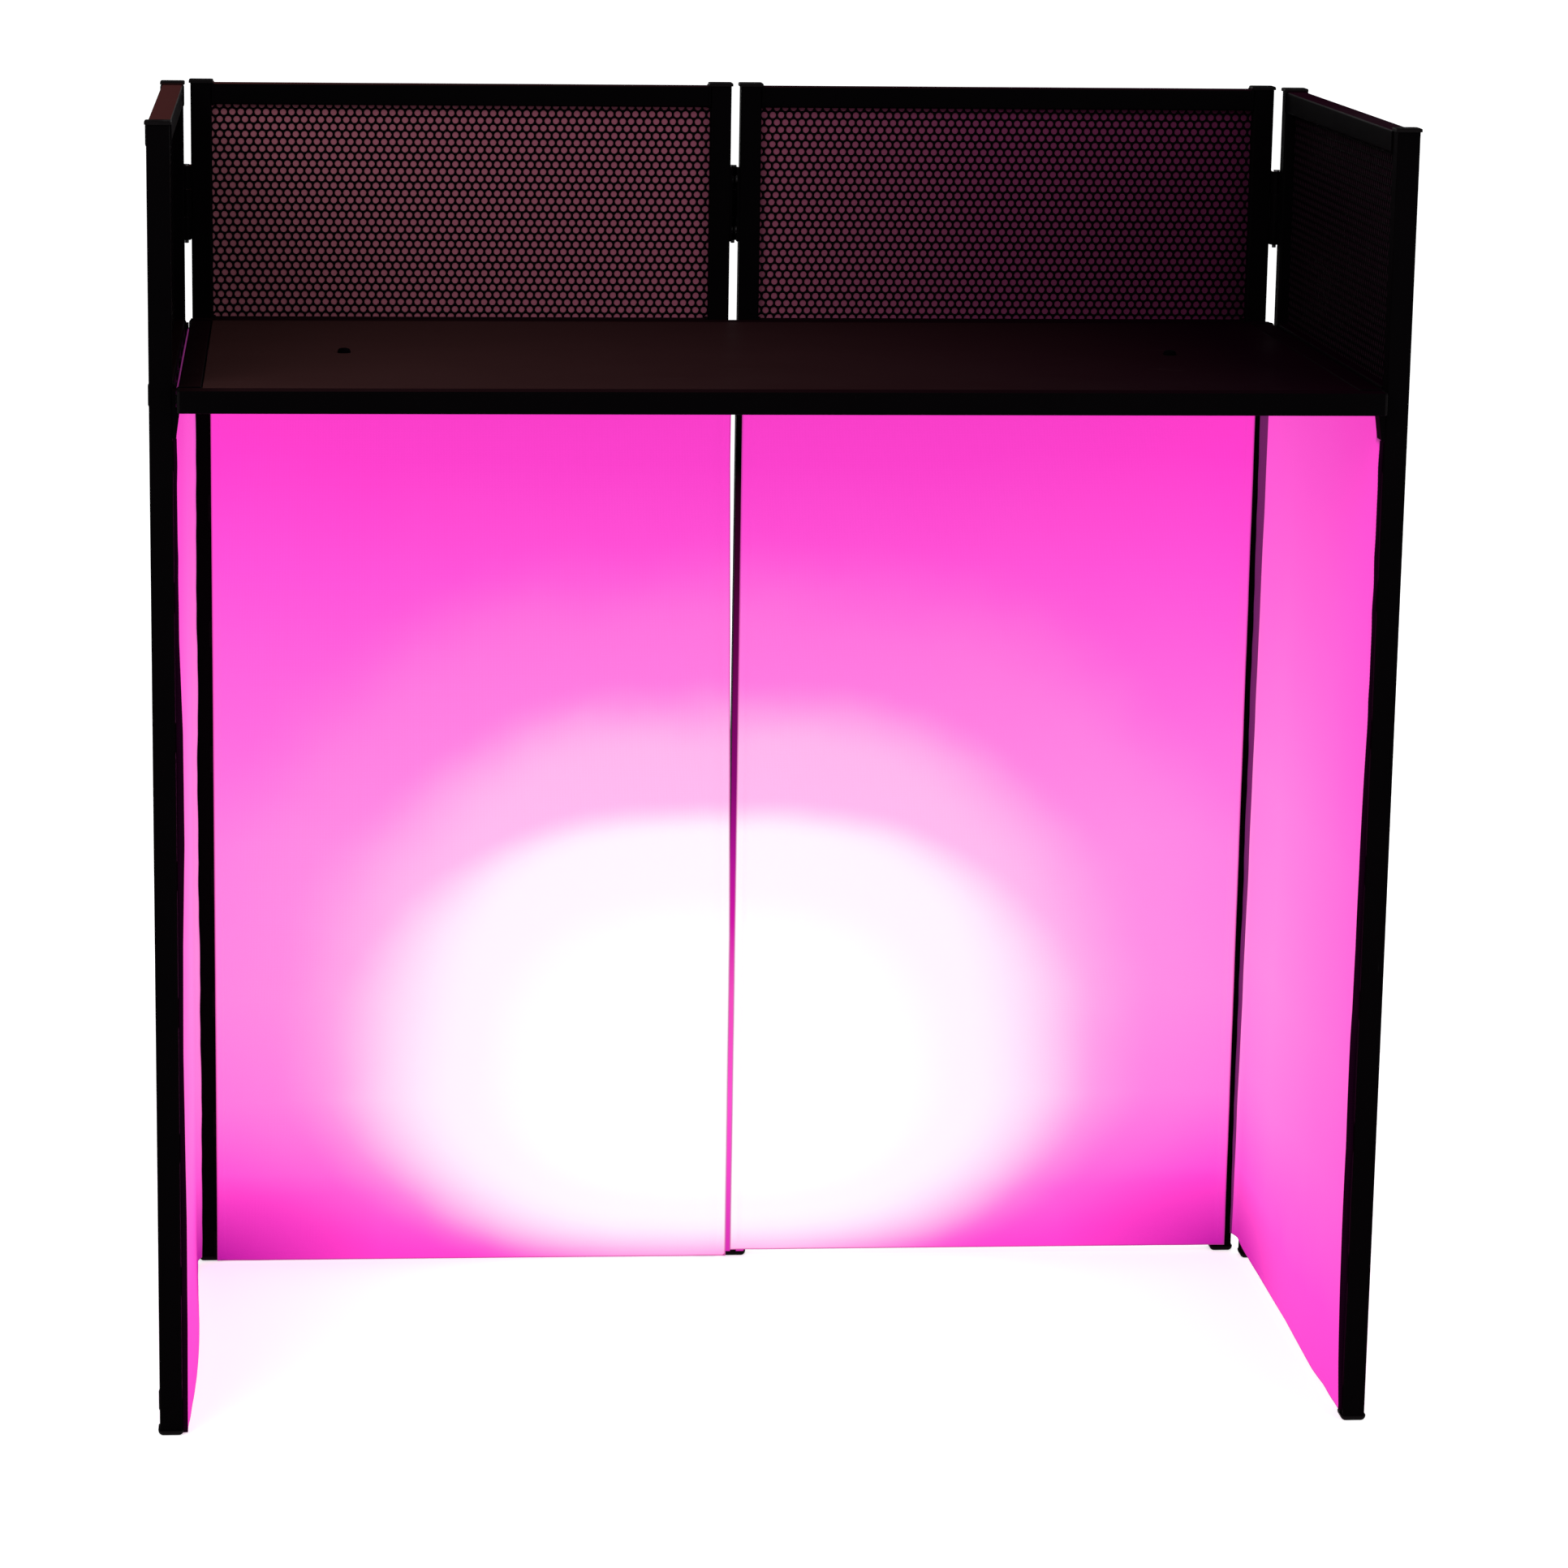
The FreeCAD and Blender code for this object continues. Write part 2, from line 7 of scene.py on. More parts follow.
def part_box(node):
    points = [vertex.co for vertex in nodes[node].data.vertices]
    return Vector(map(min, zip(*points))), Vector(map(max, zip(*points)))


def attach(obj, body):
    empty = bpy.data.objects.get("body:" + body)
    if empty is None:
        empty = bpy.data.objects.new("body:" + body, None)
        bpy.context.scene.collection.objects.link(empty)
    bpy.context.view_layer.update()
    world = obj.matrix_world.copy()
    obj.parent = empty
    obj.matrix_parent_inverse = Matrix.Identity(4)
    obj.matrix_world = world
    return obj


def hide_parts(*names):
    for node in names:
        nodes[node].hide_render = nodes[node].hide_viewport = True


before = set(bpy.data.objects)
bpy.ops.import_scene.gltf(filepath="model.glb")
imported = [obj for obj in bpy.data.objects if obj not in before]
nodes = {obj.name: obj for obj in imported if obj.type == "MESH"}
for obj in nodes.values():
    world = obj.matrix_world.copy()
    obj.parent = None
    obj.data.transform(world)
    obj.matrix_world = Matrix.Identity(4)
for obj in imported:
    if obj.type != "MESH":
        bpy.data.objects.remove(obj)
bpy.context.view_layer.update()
mm = 0.001
hair = 1e-6  # slack where two places are compared, in metres
weldGap = 1e-5  # points closer than this are one


# shader maths: a socket that can be added, scaled and so on
class Socket:
    def __init__(self, finish, link):
        self.finish, self.link = finish, link

    def calc(self, operation, *others):
        inputs = {0: self, **dict(enumerate(others, 1))}
        return self.finish.node("ShaderNodeMath", {"operation": operation}, inputs)

    def __add__(self, other):
        return self.calc("ADD", other)

    __radd__ = __add__

    def __sub__(self, other):
        return self.calc("SUBTRACT", other)

    def __rsub__(self, other):
        return self.finish.node("ShaderNodeMath", {"operation": "SUBTRACT"}, {0: other, 1: self})

    def __mul__(self, other):
        return self.calc("MULTIPLY", other)

    __rmul__ = __mul__

    def __truediv__(self, other):
        return self.calc("DIVIDE", other)

    def __pow__(self, other):
        return self.calc("POWER", other)


# the nodes of a new material, or of the world
class Finish:
    def __init__(self, name, world=None):
        self.material = world or bpy.data.materials.new(name)
        self.material.use_nodes = True
        self.tree = self.material.node_tree
        self.tree.nodes.clear()

    def node(self, kind, settings=None, inputs=None, out=0):
        made = self.tree.nodes.new(kind)
        for key, setting in (settings or {}).items():
            if key == "stops":
                ramp = made.color_ramp
                while len(ramp.elements) < len(setting):
                    ramp.elements.new(1.0)
                for element, (place, colour) in zip(ramp.elements, setting):
                    element.position, element.color = place, (*colour, 1.0)
            else:
                setattr(made, key, setting)
        for key, content in (inputs or {}).items():
            if isinstance(content, Socket):
                self.tree.links.new(content.link, made.inputs[key])
            else:
                made.inputs[key].default_value = content
        return Socket(self, made.outputs[out]) if len(made.outputs) else made

    def place(self):
        return self.node("ShaderNodeTexCoord", out="Object")

    def split(self, vector):
        parts = self.node("ShaderNodeSeparateXYZ", inputs={0: vector})
        return [Socket(self, parts.link.node.outputs[i]) for i in range(3)]

    def axes(self):
        return self.split(self.place())

    def normals(self):
        return self.split(self.node("ShaderNodeTexCoord", out="Normal"))

    def noise(self, scale, detail=2.0, rough=0.5, vector=None):
        inputs = {"Vector": vector or self.place(), "Scale": scale, "Detail": detail, "Roughness": rough}
        return self.node("ShaderNodeTexNoise", inputs=inputs)

    def stretched(self, scale):
        return self.node("ShaderNodeMapping", inputs={"Vector": self.place(), "Scale": scale})

    def ramp(self, factor, stops):
        return self.node("ShaderNodeValToRGB", {"stops": stops}, {0: factor})

    def between(self, value, low, high, newLow=0.0, newHigh=1.0):
        return self.node("ShaderNodeMapRange", inputs={0: value, 1: low, 2: high, 3: newLow, 4: newHigh})

    # the middle of a noise's range, spread from the first to the second of a pair
    def vary(self, value, pair, low=0.3, high=0.7):
        return self.between(value, low, high, *pair)

    def smooth(self, value, low, high):
        settings = {"interpolation_type": "SMOOTHSTEP"}
        return self.node("ShaderNodeMapRange", settings, {0: value, 1: low, 2: high})

    def mix(self, factor, first, second):
        settings = {"data_type": "RGBA"}
        return self.node("ShaderNodeMix", settings, {0: factor, 6: first, 7: second}, out=2)

    def bump(self, height, strength, distance):
        inputs = {"Strength": strength, "Distance": distance, "Height": height}
        return self.node("ShaderNodeBump", inputs=inputs)

    # a veil is a matt film over part of the surface: how much of it, and its colour
    def done(self, veil=None, **inputs):
        keys = {name.replace("_", " "): content for name, content in inputs.items()}
        shader = self.node("ShaderNodeBsdfPrincipled", inputs=keys)
        if veil:
            film = self.node("ShaderNodeBsdfDiffuse", inputs={"Color": veil[1]})
            shader = self.node("ShaderNodeMixShader", inputs={0: veil[0], 1: shader, 2: film})
        self.node("ShaderNodeOutputMaterial", inputs={"Surface": shader})
        return self.material


def rgb(red, green, blue):
    return (red, green, blue, 1.0)


pureWhite, pureBlack = rgb(1.0, 1.0, 1.0), rgb(0.0, 0.0, 0.0)

# powder coat: upward faces carry a matt film of dust and painted sheen above sheenLevel, and of painted sheen
# alone below; both tints run from left to right, and spill, the scrims' glow painted on as emission, runs from
# the floor up
powderLook = {
    "dark": rgb(0.0006, 0.0004, 0.0006), "light": rgb(0.0014, 0.001, 0.0013), "patch": 9, "shine": 0.006,
    "peel": 1500, "peelBump": (0.16, 0.0004), "spread": (-0.06, 0.08),
    "scuff": rgb(0.02, 0.017, 0.018), "scuffAmount": 0.6, "scratch": 60, "scratchWay": (3.0, 3.0, 0.25),
    "reach": 0.55, "sheenLevel": (1.0, 1.1), "film": (0.92, 0.98),
    "dust": [(0.0, (0.053, 0.0148, 0.0142)), (0.3, (0.012, 0.004, 0.005)), (1.0, (0.009, 0.0006, 0.0042))],
    "grime": [(0.03, (0.004, 0.0012, 0.0018)), (0.07, (0.0105, 0.0034, 0.0044)),
              (0.5, (0.006, 0.0015, 0.0025)), (1.0, (0.003, 0.0003, 0.0018))],
    "spill": [(0.0, (0.7, 0.03, 0.45)), (0.1, (0.97, 0.065, 0.61)), (0.16, (1.0, 0.088, 0.645)),
              (0.27, (0.91, 0.07, 0.515)), (0.345, (0.63, 0.008, 0.376)), (0.41, (0.43, 0.006, 0.29)),
              (0.475, (0.25, 0.0024, 0.17)), (0.606, (0.125, 0.0012, 0.071)), (0.7, (0.04, 0.001, 0.02)),
              (0.8, (0.0, 0.0, 0.0))]}


# black, with a matt film of dust and painted sheen on its upward faces; lit posts catch the glow of the scrims
# on their inner faces, painted on as emission
def powderCoat(name, look=powderLook, rough=0.56, lit=False):
    finish = Finish(name)
    x, y, z = finish.axes()
    facing = finish.normals()
    upward = finish.smooth(facing[2], 0.6, 0.95)
    inward = finish.smooth(facing[1], -0.3, -0.8)
    side = finish.between(x, -look["reach"], look["reach"])
    # painted sheen: the film's tint follows the room's light, brown at the left and violet at the right
    film = finish.mix(finish.smooth(z, *look["sheenLevel"]), finish.ramp(side, look["grime"]),
                      finish.ramp(side, look["dust"]))
    # painted glow: the scrims' light on the inner faces, as emission rising from the floor
    spill = finish.mix(inward, pureBlack, finish.ramp(z, look["spill"])) if lit else pureBlack
    patches = finish.noise(look["patch"], 3)
    peel = finish.noise(look["peel"], 2)
    scratches = finish.noise(look["scratch"], 5, 0.7, finish.stretched(look["scratchWay"]))
    scuffs = finish.between(scratches, 0.69, 0.76) * finish.between(finish.noise(5, 2), 0.45, 0.65)
    colour = finish.mix(patches, look["dark"], look["light"])
    return finish.done(
        Base_Color=finish.mix(scuffs * look["scuffAmount"], colour, look["scuff"]),
        Roughness=finish.vary(patches, [rough + change for change in look["spread"]]) - scuffs * 0.08,
        Specular_IOR_Level=look["shine"],
        Emission_Color=spill,
        Emission_Strength=1.0 if lit else 0.0,
        Normal=finish.bump(peel * 0.6 + patches * 0.4, *look["peelBump"]),
        veil=(upward * finish.vary(patches, look["film"], 0.2, 0.6), film),
    )


plasticLook = {"dark": rgb(0.0014, 0.001, 0.0012), "light": rgb(0.0036, 0.0026, 0.003), "wear": 70,
               "grain": 2600, "grainBump": (0.25, 0.0003), "rough": (0.5, 0.66), "shine": 0.03,
               "film": (0.85, 0.95)}


def mouldedPlastic(look=plasticLook):
    finish = Finish("mouldedPlastic")
    grain = finish.noise(look["grain"], 1)
    wear = finish.noise(look["wear"], 4)
    upward = finish.smooth(finish.normals()[2], 0.4, 0.9)
    colour = finish.mix(wear, look["dark"], look["light"])
    return finish.done(
        Base_Color=colour,
        Roughness=finish.vary(wear, look["rough"]),
        Specular_IOR_Level=look["shine"],
        Normal=finish.bump(grain, *look["grainBump"]),
        veil=(upward * finish.vary(wear, look["film"], 0.2, 0.6), colour),
    )


pinLook = {"dark": rgb(0.02, 0.019, 0.02), "light": rgb(0.11, 0.105, 0.11), "rough": (0.32, 0.5),
           "metal": 0.85, "shine": 0.5, "film": None}
boltLook = {"dark": rgb(0.0006, 0.0003, 0.0007), "light": rgb(0.002, 0.0012, 0.002), "rough": (0.5, 0.68),
            "metal": 0.0, "shine": 0.03, "film": (0.88, 0.96)}


def darkSteel(name, look):
    finish = Finish(name)
    brushed = finish.noise(900, 3, 0.6, finish.stretched((1.0, 1.0, 0.08)))
    wear = finish.noise(130, 4, 0.65)
    colour = finish.mix(finish.between(wear, 0.42, 0.72), look["dark"], look["light"])
    return finish.done(
        Base_Color=colour,
        Metallic=look["metal"],
        Specular_IOR_Level=look["shine"],
        Roughness=finish.vary(brushed, look["rough"]),
        Normal=finish.bump(brushed, 0.12, 0.0002),
        veil=(finish.vary(wear, look["film"], 0.3, 0.6), colour) if look["film"] else None,
    )


# the base colour runs from brown at the left to dark violet at the right: painted sheen of the room's light on
# the laminate
boardLook = {"left": rgb(0.032, 0.0126, 0.0124), "right": rgb(0.0039, 0.00025, 0.0022), "ends": (-0.5, 0.45),
             "cloud": rgb(0.007, 0.0022, 0.0028), "cloudAmount": 0.16, "mark": rgb(0.04, 0.024, 0.026),
             "scratchAmount": 0.22, "dustAmount": 0.12, "pebble": 900.0, "pebbleBump": (0.04, 0.0003),
             "rough": (0.34, 0.42), "shine": 0.08, "film": (0.98, 0.995)}


def boardLaminate(look=boardLook):
    finish = Finish("boardLaminate")
    pebble = finish.node("ShaderNodeTexVoronoi", {"feature": "SMOOTH_F1"},
                         {"Vector": finish.place(), "Scale": look["pebble"], "Smoothness": 0.8})
    cloudy = finish.noise(7, 4)
    swirl = finish.noise(45, 5, 0.7, finish.stretched((0.3, 2.0, 1.0)))
    scratch = finish.between(swirl, 0.66, 0.7) * finish.between(finish.noise(11, 2), 0.5, 0.62)
    dust = finish.between(finish.noise(420, 1), 0.76, 0.8)
    marks = scratch * look["scratchAmount"] + dust * look["dustAmount"]
    # painted sheen: brown at the left, dark violet at the right
    colour = finish.mix(finish.between(finish.axes()[0], *look["ends"]), look["left"], look["right"])
    colour = finish.mix(cloudy * look["cloudAmount"], colour, look["cloud"])
    colour = finish.mix(marks, colour, look["mark"])
    return finish.done(
        Base_Color=colour,
        Roughness=finish.vary(cloudy, look["rough"]) + scratch * 0.2,
        Specular_IOR_Level=look["shine"],
        Normal=finish.bump(pebble, *look["pebbleBump"]),
        veil=(finish.vary(cloudy, look["film"]), colour),
    )


# painted glow: the light of a lamp at floor level behind the scrims is painted into their colour and emission,
# white at the heart, pink round it, magenta higher up
# halo and arc are half widths, heights and strengths of two fainter rings
glow = {"heart": (-0.008, 0.262, 0.167), "across": 0.333, "above": 0.295, "below": 0.158, "away": 0.5,
        "bulge": 2.6, "foot": (-0.1, 1.12),
        "rim": (1.17, 0.76), "crisp": (0.27, 0.43), "crispRim": (0.13, 0.14),
        "halo": (0.37, 0.395, 0.36), "arc": (0.5, 0.53, 0.08), "ringRim": (1.2, 0.82),
        "ringCrisp": (0.4, 0.52), "core": rgb(1.0, 0.925, 0.96), "middle": (0.74, 0.56), "top": 0.93,
        "height": [(0.0, (1.0, 0.055, 0.6)), (0.075, (1.0, 0.072, 0.645)), (0.18, (1.0, 0.18, 0.69)),
                   (0.29, (1.0, 0.23, 0.7)), (0.46, (1.0, 0.225, 0.72)), (0.65, (1.0, 0.14, 0.71)),
                   (0.75, (1.0, 0.1, 0.71)), (0.87, (1.0, 0.062, 0.66)), (1.0, (1.0, 0.052, 0.63))],
        "sideFrom": (0.514, 0.516), "sideDrop": 0.14, "sidePale": 0.035, "outerFrom": (0.12, -0.25),
        "outer": 0.52, "deep": rgb(1.0, 0.045, 0.6), "shade": rgb(0.47, 0.012, 0.36),
        "edge": rgb(0.42, 0.05, 0.27),
        "roll": rgb(0.002, 0.0002, 0.002), "dusk": rgb(0.15, 0.02, 0.125), "duskFrom": (0.912, 0.924),
        "thread": rgb(0.8, 0.02, 0.5), "threadAmount": 0.03, "knit": 0.0011, "knitBump": (0.22, 0.0003),
        "base": 0.52, "emit": 0.68, "rough": (0.9, 0.78), "shine": 0.005}

# the shaded strip on the flap in the right corner: where it starts, and how it leans with depth and height
strip = {"start": 0.4657, "lean": 0.208, "rise": 0.0072, "ripple": 0.0022, "soft": 0.0004,
         "from": (0.5125, 0.5135)}


# 1 on the border of a rounded shape about the glow's heart, less inside it
def glowReach(finish, axes, across, above):
    x, y, z = [axis - heart for axis, heart in zip(axes, glow["heart"])]
    depth, narrow = glow["foot"]
    rise = (z / above).calc("MAXIMUM", z / -glow["below"])
    side = (x / across * finish.between(z, 0.0, depth, 1.0, narrow)).calc("ABSOLUTE")
    back, bulge = (y / glow["away"]).calc("ABSOLUTE"), glow["bulge"]
    return (side ** bulge + back ** bulge + rise ** bulge) ** (1 / bulge)


def scrimCloth(look=glow):
    finish = Finish("scrimCloth")
    axes = finish.axes()
    x, y, z = axes
    outward = x.calc("ABSOLUTE")
    ribs = ((x + y) * (math.tau / look["knit"])).calc("SINE")
    rows = (z * (math.tau / look["knit"] / 1.3) + ribs * 0.9).calc("SINE")
    weave = ribs * 0.25 + rows * 0.25 + 0.5
    blotch = finish.noise(6, 3) - 0.5
    # the rims are crisper at the top than at the sides
    crisp = finish.between(z, *look["crisp"])
    start, end = look["rim"]
    start, end = start - crisp * look["crispRim"][0], end + crisp * look["crispRim"][1]
    reach = glowReach(finish, axes, look["across"], look["above"]) + blotch * 0.05
    white = finish.smooth(reach, start, end)
    level = finish.between(z, *look["ringCrisp"])
    start, end = look["ringRim"]
    for across, above, amount in (look["halo"], look["arc"]):
        away = glowReach(finish, axes, across, above) + blotch * 0.12
        ring = finish.smooth(away, start - level * 0.11, end + level * 0.07)
        white = white + ring * amount * (1.0 - white)
    aside = finish.between(outward, *look["sideFrom"])
    colour = finish.ramp(z / look["top"] * (1.0 - aside * look["sideDrop"]) + blotch * 0.05, look["height"])
    # the side scrims are a little paler, and deeper in colour towards their near edges: painted shade where
    # less of the glow reaches them
    outer = aside * finish.between(y, *look["outerFrom"], 0.0, look["outer"])
    colour = finish.mix(outer, finish.mix(aside * look["sidePale"], colour, pureWhite), look["deep"])
    colour = finish.mix(white, colour, look["core"])
    colour = finish.mix(finish.smooth(reach, *look["middle"]), colour, pureWhite)
    # painted shade in the bottom outer corners, growing towards the back
    corner = finish.between(outward, 0.34, 0.5) * finish.between(z, 0.09, 0.0)
    colour = finish.mix(corner * finish.smooth(y, 0.0, 0.22), colour, look["shade"])
    # raw edges are painted darker, as shade; rolled hems are darkest; the part beside the table carries the
    # table's painted shadow
    rim = finish.node("ShaderNodeAttribute", {"attribute_name": "rim"}, out="Fac")
    colour = finish.mix(finish.smooth(rim, 0.35, 1.0) * 0.85, colour, look["edge"])
    colour = finish.mix(finish.smooth(rim, 1.2, 1.9), colour, look["roll"])
    colour = finish.mix(finish.smooth(z, *look["duskFrom"]) * 0.85, colour, look["dusk"])
    ripple = finish.noise(9, 1, vector=finish.stretched((0.0, 0.0, 1.0))) - 0.5
    border = z * strip["rise"] + ripple * strip["ripple"] + strip["start"] - x + y * strip["lean"]
    shaded = finish.smooth(border, 0.0, strip["soft"]) * finish.smooth(x, *strip["from"])
    colour = finish.mix(shaded, colour, look["dusk"])
    threads = finish.mix(weave * look["threadAmount"], colour, look["thread"])
    # the painted glow is in the base colour, darkened, and in the emission
    return finish.done(
        Base_Color=finish.mix(1.0 - look["base"], threads, pureBlack),
        Roughness=finish.between(weave, 0.0, 1.0, *look["rough"]),
        Specular_IOR_Level=look["shine"],
        Emission_Color=colour,
        Emission_Strength=look["emit"],
        Normal=finish.bump(weave, *look["knitBump"]),
    )


# a sheet inside the perforated sheets that stands in for the dim room seen through the holes: painted light
# and shade, warmer at the left and more violet at the right
holeBackdropLook = {"tones": [(0.0, (0.32, 0.105, 0.14)), (0.45, (0.27, 0.075, 0.12)), (0.75, (0.14, 0.022, 0.07)),
                        (0.95, (0.09, 0.01, 0.045)), (1.0, (0.012, 0.002, 0.007))],
              "ends": (-0.55, 0.52), "weft": rgb(0.012, 0.004, 0.007), "weftAmount": 0.35, "thread": 0.0009,
              "threadBump": (0.2, 0.0002), "rough": (0.95, 0.8), "shine": 0.05}


def liningCloth(look=holeBackdropLook):
    finish = Finish("liningCloth")
    x, y, z = finish.axes()
    turn = math.tau / look["thread"]
    threads = ((x + y) * turn).calc("SINE") * (z * turn).calc("SINE") * 0.5 + 0.5
    tone = finish.between(x + (finish.noise(4, 2) - 0.5) * 0.08, *look["ends"])
    return finish.done(
        Base_Color=finish.mix(threads * look["weftAmount"], finish.ramp(tone, look["tones"]), look["weft"]),
        Roughness=finish.between(threads, 0.0, 1.0, *look["rough"]),
        Specular_IOR_Level=look["shine"],
        Normal=finish.bump(threads, *look["threadBump"]),
    )


tapeLook = {"dark": rgb(0.0008, 0.0006, 0.0008), "light": rgb(0.005, 0.0042, 0.005), "pile": 3200,
            "row": 0.0016, "pileBump": (0.6, 0.0006), "rough": (0.8, 0.98), "shine": 0.02}


def hookTape(look=tapeLook):
    finish = Finish("hookTape")
    pile = finish.noise(look["pile"], 2, 0.8)
    rows = (finish.axes()[2] * (math.tau / look["row"])).calc("SINE") * 0.5 + 0.5
    return finish.done(
        Base_Color=finish.mix(pile, look["dark"], look["light"]),
        Roughness=finish.vary(pile, look["rough"]),
        Specular_IOR_Level=look["shine"],
        Normal=finish.bump(pile * 0.7 + rows * 0.3, *look["pileBump"]),
    )


paint = powderCoat("framePowder")
# the posts at the seam carry the scrims' glow painted on as emission
litPaint = powderCoat("seamPaintedGlowPowder", lit=True)
sheetPaint = powderCoat("screenPowder", rough=0.52)
plastic = mouldedPlastic()
hingeMetal = powderCoat("hingePowder", {**powderLook, "peel": 2600}, rough=0.4)
pinMetal = darkSteel("pinSteel", pinLook)
boltMetal = darkSteel("boltOxide", boltLook)
laminate = boardLaminate()
cloth = scrimCloth()
holeBackdrop = liningCloth()
tape = hookTape()
print("finishes made")


# mesh helpers
def addBlock(bm, low, high):
    verts = bmesh.ops.create_cube(bm, size=1.0)["verts"]
    bmesh.ops.scale(bm, vec=Vector(high) - Vector(low), verts=verts)
    bmesh.ops.translate(bm, vec=(Vector(low) + Vector(high)) / 2, verts=verts)
    return verts


# each item once, in the order met
def once(items):
    return list(dict.fromkeys(items))


def edgesOf(verts):
    return once(edge for vert in verts for edge in vert.link_edges)


def runsAlong(edge, axis):
    return abs((edge.verts[1].co - edge.verts[0].co).normalized()[axis]) > 0.9


def ease(bm, edges, width, steps=2):
    return bmesh.ops.bevel(bm, geom=edges, offset=width, offset_type="OFFSET", segments=steps, profile=0.5,
                           affect="EDGES", clamp_overlap=True, material=-1)


# a bar with rounded long edges, as drawn tube has
def addBar(bm, low, high, axis, corner, steps=4):
    verts = addBlock(bm, low, high)
    ease(bm, [edge for edge in edgesOf(verts) if runsAlong(edge, axis)], corner, steps)


def camel(node):
    words = node.split("_")
    return words[0] + "".join(word.capitalize() for word in words[1:])


def meshOf(bm, name):
    mesh = bpy.data.meshes.new(name)
    bm.to_mesh(mesh)
    bm.free()
    return mesh


# a piece is smooth except at edges sharper than this many degrees
smoothTo = {"metal": 38, "cloth": 60}


def setPiece(bm, name, material, body, slot, replaced=(), matrix=None):
    if matrix is not None:
        bmesh.ops.transform(bm, matrix=matrix, verts=bm.verts)
    bmesh.ops.recalc_face_normals(bm, faces=bm.faces)
    return setMesh(meshOf(bm, name), name, material, body, slot, replaced)


def setMesh(mesh, name, material, body, slot, replaced=(), sharp=smoothTo["metal"]):
    mesh.shade_smooth()
    mesh.set_sharp_from_angle(angle=math.radians(sharp))
    mesh.materials.clear()
    mesh.materials.append(material)
    piece = bpy.data.objects.new(name, mesh)
    bpy.context.scene.collection.objects.link(piece)
    if slot not in ("scrim", "screen", "hook_tab"):
        shading = piece.modifiers.new("flatFaces", "WEIGHTED_NORMAL")
        shading.weight, shading.keep_sharp = 100, True
    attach(piece, body)
    if replaced:
        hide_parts(*replaced)
    return piece


def copyOf(node):
    bm = bmesh.new()
    bm.from_mesh(nodes[node].data)
    bmesh.ops.remove_doubles(bm, verts=bm.verts, dist=weldGap)
    return bm


# the solids of a node, each as its list of points
def solidsOf(node):
    bm = copyOf(node)
    found, seen = [], set()
    for vert in bm.verts:
        if vert in seen:
            continue
        stack, points = [vert], []
        seen.add(vert)
        while stack:
            current = stack.pop()
            points.append(current.co.copy())
            for edge in current.link_edges:
                other = edge.other_vert(current)
                if other not in seen:
                    seen.add(other)
                    stack.append(other)
        found.append(points)
    bm.free()
    return found


def spanOf(points):
    return (Vector([min(p[i] for p in points) for i in range(3)]),
            Vector([max(p[i] for p in points) for i in range(3)]))


# panels: local axes run across (left to right from inside), into the frame, and up
turns = {"side_left": 90, "front_left": 0, "front_right": 0, "side_right": -90}


def panelMatrix(panel):
    low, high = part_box(panel + "_left_post")
    corner = {0: (low.x, low.y, 0), 90: (high.x, low.y, 0), -90: (low.x, high.y, 0)}[turns[panel]]
    return Matrix.Translation(corner) @ Matrix.Rotation(math.radians(turns[panel]), 4, "Z")


places = {panel: panelMatrix(panel) for panel in turns}


def localSpan(panel, points):
    back = places[panel].inverted()
    return spanOf([back @ Vector(p) for p in points])


def localBox(panel, node):
    return localSpan(panel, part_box(node))


# tubes, with a small weld round the ends of those that butt against another
tubeLook = {"corner": 2 * mm, "bead": 1.3 * mm, "beadWidth": 2.4 * mm, "beadRound": 0.8, "cuts": 9,
            "cutOver": 10 * mm, "sharp": 1.2}


def addWeld(bm, low, high, axis, end):
    bead, width = tubeLook["bead"], tubeLook["beadWidth"]
    lowest, highest = Vector(low), Vector(high)
    for i in range(3):
        if i != axis:
            lowest[i] -= bead
            highest[i] += bead
    if end == 0:
        highest[axis] = lowest[axis] + width
    else:
        lowest[axis] = highest[axis] - width
    verts = addBlock(bm, lowest, highest)
    rim = [edge for edge in edgesOf(verts) if runsAlong(edge, axis)]
    made = ease(bm, rim, tubeLook["corner"] + bead, 4)
    ringVerts = once(vert for face in made["faces"] for vert in face.verts)
    ring = [edge for edge in edgesOf(ringVerts) if not runsAlong(edge, axis)]
    outer = [edge for edge in ring if len(edge.link_faces) == 2 and edge.calc_face_angle() > tubeLook["sharp"]]
    made = ease(bm, outer, bead * tubeLook["beadRound"], 2)
    edges = once(edge for face in made["faces"] for edge in face.edges)
    edges = [edge for edge in edges if edge.calc_length() > tubeLook["cutOver"]]
    bmesh.ops.subdivide_edges(bm, edges=edges, cuts=tubeLook["cuts"], use_grid_fill=True)


def setTube(node, low, high, axis, welded, material, body, matrix=None):
    bm = bmesh.new()
    addBar(bm, low, high, axis, tubeLook["corner"])
    for end in (0, 1) if welded else ():
        addWeld(bm, low, high, axis, end)
    setPiece(bm, camel(node), material, body, "frame", [node], matrix)


panelParts = (("left_post", 2), ("right_post", 2), ("top_rail", 0), ("mid_rail", 0), ("bottom_rail", 0))
litPosts = ("front_left_right_post", "front_right_left_post")


def panelTubes(panel):
    for part, axis in panelParts:
        node = f"{panel}_{part}"
        material = litPaint if node in litPosts else paint
        setTube(node, *localBox(panel, node), axis, axis == 0, material, panel, places[panel])


# push-in caps and feet
capLook = {"corner": 3 * mm, "rim": 1.1 * mm, "footCorner": 4.6 * mm, "footRim": 4.4 * mm}


def addPlug(bm, low, high, axis, outward, rim, corner=capLook["corner"]):
    verts = addBlock(bm, low, high)
    ease(bm, [edge for edge in edgesOf(verts) if runsAlong(edge, axis)], corner, 5)
    outer = high[axis] if outward > 0 else low[axis]
    flat = [face for face in bm.faces if all(abs(vert.co[axis] - outer) < hair for vert in face.verts)
            and all(low[i] - hair <= vert.co[i] <= high[i] + hair for vert in face.verts for i in range(3))]
    ease(bm, once(edge for face in flat for edge in face.edges), rim, 4)


